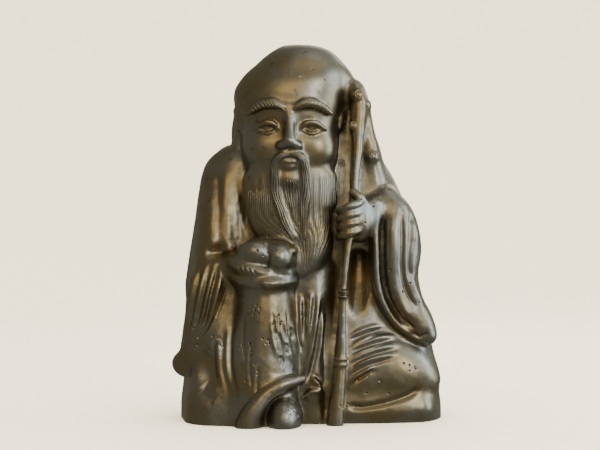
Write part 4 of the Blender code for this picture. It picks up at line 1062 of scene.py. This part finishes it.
# The middles of so many equal steps from -1 to 1
def evenSteps(count):
    return [(k + 0.5) / count * 2 - 1 for k in range(count)]


# Fine strands that hang from the jaw; the middle ones run on and gather in the long tip
beardEdges = {
    "left": -15.8,
    "width": 24.4,
    "top": ((-16, 60.2), (-9, 61.2), (-5, 62.0), (0, 63.2), (4, 64.4), (8.6, 65.6)),
    "end": ((-16, 54.6), (-12, 51.6), (-9, 49.8), (-5.5, 48.2), (-4.5, 42), (0, 39.8), (4, 40.2),
            (6.4, 43.5), (8.6, 52)),
    "ragged": (-0.4, 0.8),
    "short": 5.5,  # how much every other strand of the tip stops short, right of this x
    "shortFrom": -5,
    # The strands right of an x are drawn together towards the tip, from a height down
    "pulledFrom": -7,
    "pullHeight": 52,
    "pullOver": 13,
    "pull": 0.95,
    "tip": (0.2, 0.4, 0.5),  # the tip's x, its width as a share of the beard's, the beard's middle
    "wave": (0.10, 0.75, 0.35),  # its size, how often per share, how far it moves per strand
    "step": 0.45,
    "seed": 7,
}


def beardPaths():
    rng = np.random.default_rng(beardEdges["seed"])
    count = strandSizes["beardStrands"]
    paths = []
    for k in range(count):
        x = beardEdges["left"] + beardEdges["width"] * (k + 0.5) / count
        top = np.interp(x, *zip(*beardEdges["top"]))
        end = np.interp(x, *zip(*beardEdges["end"]))
        if x > beardEdges["shortFrom"] and k % 2:
            end += beardEdges["short"]
        top, end = [level + rng.uniform(*beardEdges["ragged"]) for level in (top, end)]
        heights = np.arange(top, end, -beardEdges["step"])
        pull = ramp(beardEdges["pullHeight"] - heights, 0, beardEdges["pullOver"])
        pull = pull * float(x > beardEdges["pulledFrom"])
        tipX, narrow, middle = beardEdges["tip"]
        tip = tipX + narrow * (x - middle)
        size, often, shift = beardEdges["wave"]
        wave = size * np.sin(heights * often + k * shift)
        paths.append(list(zip(x + (tip - x) * pull * beardEdges["pull"] + wave, heights)))
    return paths


# Bold strands of the moustache that fall over the beard in a slow wave and meet at its tip.
# Each row is x, z and half the lock's width.
lockRows = {
    "left": ((-4.7, 69.9, 0.3), (-6.6, 69.6, 0.6), (-8.3, 67.8, 0.95), (-8.4, 63, 1.1),
             (-7.6, 58, 1.1), (-5.9, 53, 1.0), (-3.6, 48.6, 0.8), (-2.4, 43, 0.6)),
    "right": ((-4.5, 69.9, 0.3), (-2.2, 69.6, 0.6), (-0.7, 67.8, 0.95), (-0.4, 63, 1.1),
              (-0.6, 58, 1.1), (-1.0, 53, 1.0), (-0.9, 48.6, 0.9), (-0.6, 43.5, 0.6)),
}


def lockPaths():
    paths = []
    for side, lock in enumerate(lockRows.values()):
        rows = smoothRows(lock, 8)
        for k, s in enumerate(evenSteps(strandSizes["lockStrands"])):
            path = []
            for row, after in zip(rows[:-1], rows[1:]):
                run = np.array([after[0] - row[0], after[1] - row[1]])
                run /= np.linalg.norm(run)
                wave = 0.2 * math.sin(row[1] * 0.7 + 2 * side + 0.5 * k) * (row[1] < 66)
                away = np.array([-run[1], run[0]]) * row[2] * s
                path.append((row[0] + away[0] + wave, row[1] + away[1]))
            paths.append(path[: len(path) - (k * 5 + side) % 4 * 3])
    return paths


# The tuft under the lip
def tuftPaths():
    paths = []
    for k, s in enumerate(evenSteps(strandSizes["tuftStrands"])):
        heights = np.arange(63.6 - 0.8 * s * s, 52.5 + 4 * abs(s), -0.5)
        below = 64 - heights
        wide = figureSizes["headMiddle"] + 1.8 * s * (1 - 0.3 * ramp(below, 0, 12))
        paths.append(list(zip(wide + 0.1 * below + 0.12 * np.sin(heights * 0.9 + k), heights)))
    return paths


def browPaths():
    rows = smoothRows(((2.0, 82.0, 0.9), (4.4, 83.0, 1.2), (7.6, 82.6, 1.2), (10.6, 80.8, 0.8)), 12)
    count = strandSizes["browStrands"]
    paths = []
    for side in (-1, 1):
        for k in range(count):
            row = rows[int(k * (len(rows) - 1) / count)]
            paths.append([(figureSizes["headMiddle"] + side * (row[0] + t), row[1] + row[2] * t)
                          for t in np.linspace(-1, 1, 7)])
    return paths


def spiral(x, z, radius, turns, start=0.0, inner=0.3):
    steps = int(18 * turns)
    path = []
    for k in range(steps + 1):
        s = k / steps
        size = radius * (1 - (1 - inner) * s)
        turn = start + 2 * math.pi * turns * s
        path.append((x + size * math.cos(turn), z + size * math.sin(turn)))
    return path


# Knots of the root, then the curls of the ear: x, z, radius, turns and where each starts
curlRows = (
    (13.7, 86.0, 1.5, 1.7, 0.4), (17.3, 70.2, 1.1, 1.5, 2.2), (16.1, 83.6, 0.9, 1.3, 0.5),
    (12.0, 78.0, 0.8, 1.2, 1.0), (9.2, 68.0, 0.95, 1.5, 0.6), (9.4, 79.4, 1.2, 1.3, 0.2),
)


def eyePaths():
    middle = figureSizes["headMiddle"]
    return [spiral(middle + side * 5.8, 76.6, radius, 1.04, 0.3, 1.0)
            for side in (-1, 1) for radius in (0.86, 0.3)]


# Keeps the runs of each path that lie on these shapes
def trimmed(paths, figure, form, groups):
    tree = BVHTree.FromObject(figure, bpy.context.evaluated_depsgraph_get())
    spots = [tree.ray_cast(Vector((x, -viewStart, z)), Vector((0, 1, 0)))[0]
             for path in paths for x, z in path]
    missed = (0, 90, 0)
    places = np.array([spot or missed for spot in spots])
    lies = iter(form.belongs(np.clip(places, (-38, -29, 0), (38, 20, 102)), groups) > 0.5)
    kept = []
    for path in paths:
        run = []
        for spot in list(path) + [None]:
            if spot and next(lies):
                run.append(spot)
                continue
            if len(run) > 3:
                kept.append(run)
            run = []
    return kept


# Tone of the metal: open faces are rubbed bright, hollows keep a brown patina that is also painted shade,
# darkened by how closed in each point is.
metalSizes = {
    "bright": (0.315, 0.302, 0.250, 1),
    "warm": (0.290, 0.236, 0.138, 1),
    # The colour of the patina, of the painted shade in hollows and pits, and of the dark spots
    "dark": (0.090, 0.076, 0.050, 1),
    "patches": (38, 4),  # scale and detail of each noise
    "mottle": (260, 5),
    "grain": (1500, 3),
    # Where the warm tone, the brown patina with its painted shade and the dark spots begin and where they
    # are full
    "warmRange": (0.38, 0.62),
    "patinaShadeRange": (0.14, 0.92),
    "spotRange": (0.60, 0.72),
    "mottleInPatinaShade": 0.55,
    "wornOffPatinaShade": 0.5,
    "pitsInPatinaShade": 0.6,
    "grainInPatinaShade": 0.25,
    "spotDark": 0.45,
    "roughOpen": 0.38,
    "roughHollow": 0.66,
    "roughMottle": 0.25,
    "bumpStrength": 0.16,
    "bumpHeight": 0.0004,
    "bumpGrain": 0.35,
}


def makeBronze():
    metal = bpy.data.materials.new("agedBronze")
    metal.use_nodes = True
    tree = metal.node_tree
    where = addNode(tree, "ShaderNodeTexCoord")["Object"]

    def speckle(name):
        scale, detail = metalSizes[name]
        return addNode(tree, "ShaderNodeTexNoise", {"Vector": where, "Scale": scale, "Detail": detail,
                                                    "Roughness": 0.55})["Fac"]

    def marked(name):
        return addNode(tree, "ShaderNodeAttribute", attribute_name=name)["Fac"]

    def combine(kind, a, b):
        return addNode(tree, "ShaderNodeMath", {0: a, 1: b}, operation=kind)[0]

    # The source, less its middle, times an amount, added to what is there
    def layer(below, source, middle, amount):
        return combine("ADD", below, combine("MULTIPLY", combine("SUBTRACT", source, middle), amount))

    def spread(source, low, high, toLow=0.0, toHigh=1.0):
        return addNode(tree, "ShaderNodeMapRange",
                       {"Value": source, "From Min": low, "From Max": high, "To Min": toLow,
                        "To Max": toHigh}, interpolation_type="SMOOTHSTEP")[0]

    def blendColour(factor, a, b):
        return addNode(tree, "ShaderNodeMix", {0: factor, 6: a, 7: b}, data_type="RGBA")[2]

    patches, mottle, grain = speckle("patches"), speckle("mottle"), speckle("grain")
    warmth = spread(patches, *metalSizes["warmRange"])
    tone = blendColour(warmth, metalSizes["bright"], metalSizes["warm"])
    # The brown patina with painted shade: thick in hollows, where the hollow mark measures occlusion, and
    # in pits, uneven, and rubbed off the edges
    skin = layer(marked("hollow"), mottle, 0.5, metalSizes["mottleInPatinaShade"])
    skin = layer(skin, marked("worn"), 0, -metalSizes["wornOffPatinaShade"])
    skin = layer(skin, marked("pitted"), 0, metalSizes["pitsInPatinaShade"])
    skin = layer(skin, grain, 0.5, metalSizes["grainInPatinaShade"])
    skin = spread(skin, *metalSizes["patinaShadeRange"])
    # Painted shade and patina: the metal tone is darkened toward the dark colour by this mask
    colour = blendColour(skin, tone, metalSizes["dark"])
    spots = spread(mottle, *metalSizes["spotRange"], 0.0, metalSizes["spotDark"])
    colour = blendColour(spots, colour, metalSizes["dark"])
    rough = spread(skin, 0.0, 1.0, metalSizes["roughOpen"], metalSizes["roughHollow"])
    rough = layer(rough, mottle, 0.45, metalSizes["roughMottle"])
    height = combine("ADD", mottle, combine("MULTIPLY", grain, metalSizes["bumpGrain"]))
    bump = addNode(tree, "ShaderNodeBump", {"Strength": metalSizes["bumpStrength"],
                                            "Distance": metalSizes["bumpHeight"], "Height": height})
    shader = tree.nodes["Principled BSDF"]
    shader.inputs["Metallic"].default_value = 1.0
    for name, source in (("Base Color", colour), ("Roughness", rough), ("Normal", bump[0])):
        tree.links.new(source, shader.inputs[name])
    return metal


shadeAndWearSizes = {
    "reach": 5.0,  # how far a wall closes a point in
    "rays": 28,
    "off": 0.08,  # how far off the skin a ray starts
    "grazing": 0.12,  # rays flatter to the skin than this are left out
    "fade": 0.6,  # how much less a wall at the end of its reach counts
    "lift": 0.06,  # an edge that stands out this much is worn bare
    "rounds": 2,
}


# Stores how closed in each point is, an occlusion measure that the metal paints as shade along with
# patina, and how far it stands out from its neighbours
def markShadeAndWear(thing, tree):
    mesh = thing.data
    points, normals = meshNumbers(mesh)
    rays, reach = shadeAndWearSizes["rays"], shadeAndWearSizes["reach"]
    golden = math.pi * (3 - math.sqrt(5))
    ways = []
    for k in range(rays):
        level = 1 - 2 * (k + 0.5) / rays
        ring = math.sqrt(1 - level * level)
        ways.append((ring * math.cos(golden * k), ring * math.sin(golden * k), level))
    ways = np.array(ways)
    facing = normals @ ways.T
    closeness = np.zeros(len(points))
    total = np.maximum(facing, 0).sum(1)
    starts = points + normals * shadeAndWearSizes["off"]
    for k, way in enumerate(ways):
        direction = Vector(way)
        for index in np.nonzero(facing[:, k] > shadeAndWearSizes["grazing"])[0]:
            distance = tree.ray_cast(Vector(starts[index]), direction, reach)[3]
            if distance is not None:
                closeness[index] += facing[index, k] * (1 - shadeAndWearSizes["fade"] * distance / reach)
    closeness /= np.maximum(total, 1e-6)
    ends = np.empty(len(mesh.edges) * 2, np.int64)
    mesh.edges.foreach_get("vertices", ends)
    ends = ends.reshape(-1, 2)
    counts = np.maximum(np.bincount(ends.ravel(), minlength=len(points)), 1)

    # The middle of each point's neighbours
    def around(numbers):
        sums = np.zeros_like(numbers)
        for a, b in ((0, 1), (1, 0)):
            np.add.at(sums, ends[:, a], numbers[ends[:, b]])
        return (sums.T / counts).T

    lift = ((points - around(points)) * normals).sum(1)
    worn = np.clip(lift / shadeAndWearSizes["lift"], 0, 1)
    for _ in range(shadeAndWearSizes["rounds"]):
        worn = 0.5 * worn + 0.5 * around(worn)
        closeness = 0.6 * closeness + 0.4 * around(closeness)
    for name, numbers in (("hollow", closeness), ("worn", worn)):
        mark = mesh.attributes.new(name, "FLOAT", "POINT")
        mark.data.foreach_set("value", numbers.astype(np.float32))


# Round pale floor whose rim curves up into a backdrop on every side
stageSizes = {"flat": 0.75, "bend": 0.55, "bendSteps": 12, "top": 2.2, "sides": 72,
              "tone": (0.85, 0.80, 0.685, 1), "rough": 0.9, "shine": 0.1}


def makeStage():
    flat, bend, steps = stageSizes["flat"], stageSizes["bend"], stageSizes["bendSteps"]
    profile = [(flat, 0.0)]
    for k in range(1, steps + 1):
        turn = math.pi / 2 * k / steps
        profile.append((flat + bend * math.sin(turn), bend * (1 - math.cos(turn))))
    profile.append((profile[-1][0], stageSizes["top"]))
    sides = stageSizes["sides"]
    verts = [(0, 0, 0)]
    for radius, z in profile:
        for k in range(sides):
            turn = 2 * math.pi * k / sides
            verts.append((radius * math.cos(turn), radius * math.sin(turn), z))
    faces = [(0, 1 + k, 1 + (k + 1) % sides) for k in range(sides)]
    for ring in range(len(profile) - 1):
        base = 1 + ring * sides
        for k in range(sides):
            after = (k + 1) % sides
            faces.append((base + k, base + sides + k, base + sides + after, base + after))
    mesh = bpy.data.meshes.new("paleStage")
    mesh.from_pydata(verts, [], faces)
    for face in mesh.polygons:
        face.use_smooth = True
    stage = linked("paleStage", mesh)
    paper = bpy.data.materials.new("paleCard")
    paper.use_nodes = True
    shader = paper.node_tree.nodes["Principled BSDF"]
    shader.inputs["Base Color"].default_value = stageSizes["tone"]
    shader.inputs["Roughness"].default_value = stageSizes["rough"]
    shader.inputs["Specular IOR Level"].default_value = stageSizes["shine"]
    mesh.materials.append(paper)
    stage.visible_glossy = False
    return stage


# Place, width and height, power and colour of each lamp
lightSizes = {
    "windowRight": ((0.72, -0.02, 0.30), (0.40, 0.70), 4.0, (0.70, 0.84, 1.0)),
    "softRight": ((0.50, -0.62, 0.36), (0.34, 0.44), 2.7, (0.92, 0.96, 1.0)),
    "warmFront": ((-0.05, -0.75, 0.50), (0.45, 0.30), 1.1, (1.0, 0.76, 0.42)),
    "above": ((0.20, -0.05, 0.80), (0.60, 0.50), 0.7, (1.0, 0.98, 0.93)),
    "behind": ((0.20, 0.66, 0.45), (0.60, 0.50), 1.8, (1.0, 0.95, 0.86)),
    "stageWash": ((0.0, 0.0, 1.9), (1.9, 1.9), 75.0, (1.0, 0.97, 0.91)),
}
roomSizes = {"aim": (0, 0, 0.09), "colour": (0.57, 0.55, 0.46, 1), "strength": 0.36}


def makeLights():
    for name, (place, size, power, colour) in lightSizes.items():
        lamp = bpy.data.lights.new(name, "AREA")
        lamp.shape = "RECTANGLE"
        lamp.size, lamp.size_y = size
        lamp.energy = power
        lamp.color = colour
        thing = linked(name, lamp)
        thing.location = place
        aim = Vector(roomSizes["aim"]) - Vector(place)
        thing.rotation_euler = aim.to_track_quat("-Z", "Y").to_euler()
        thing.visible_glossy = name != "stageWash"
        thing.visible_camera = False
    world = bpy.data.worlds.new("room")
    bpy.context.scene.world = world
    world.use_nodes = True
    background = world.node_tree.nodes["Background"]
    background.inputs[0].default_value = roomSizes["colour"]
    background.inputs[1].default_value = roomSizes["strength"]


# Its place is in shares of the figure, as the form's
cameraSizes = {"lens": 86.4, "sensor": 36, "nearest": 0.01, "at": (-1.95, -389.0, 51.65)}


def makeCamera(shift):
    lens = bpy.data.cameras.new("view")
    lens.lens = cameraSizes["lens"]
    lens.sensor_width = cameraSizes["sensor"]
    lens.clip_start = cameraSizes["nearest"]
    camera = linked("view", lens)
    x, y, z = cameraSizes["at"]
    camera.location = ((x - shift[0]) * share, (y - shift[1]) * share, z * share)
    camera.rotation_euler = (math.pi / 2, 0, 0)
    bpy.context.scene.camera = camera


metal = makeBronze()
figure, form = makeFigure()
print("figure", len(figure.data.polygons), "faces")
pieces = [figure]
for name, paths, radius in (
    ("beardStrands", trimmed(beardPaths(), figure, form, [beardShape, clothShape]), "beardRadius"),
    ("moustacheStrands", lockPaths() + tuftPaths(), "lockRadius"),
    ("browStrands", browPaths(), "browRadius"),
    ("rootCurls", [spiral(*row) for row in curlRows], "curlRadius"),
    ("eyeRings", eyePaths(), "eyeRadius"),
):
    pieces.append(makeStrands(name, paths, strandSizes[radius], figure, metal))
figure.data.materials.append(metal)

joined = bmesh.new()
for piece in pieces:
    joined.from_mesh(piece.data)
tree = BVHTree.FromBMesh(joined)
joined.free()
for piece in pieces:
    markShadeAndWear(piece, tree)
print("wear marked")

# From shares to metres, with the figure's middle over the origin
points, normals = meshNumbers(figure.data)
middle = (points.min(0) + points.max(0)) / 2
toMetres = Matrix.Scale(share, 4) @ Matrix.Translation((-middle[0], -middle[1], 0))
for piece in pieces:
    piece.data.transform(toMetres)
    piece.data.update()
    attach(piece, "root")
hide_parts("sage_figure")
print("middle", middle)

makeStage()
makeLights()
makeCamera(middle)
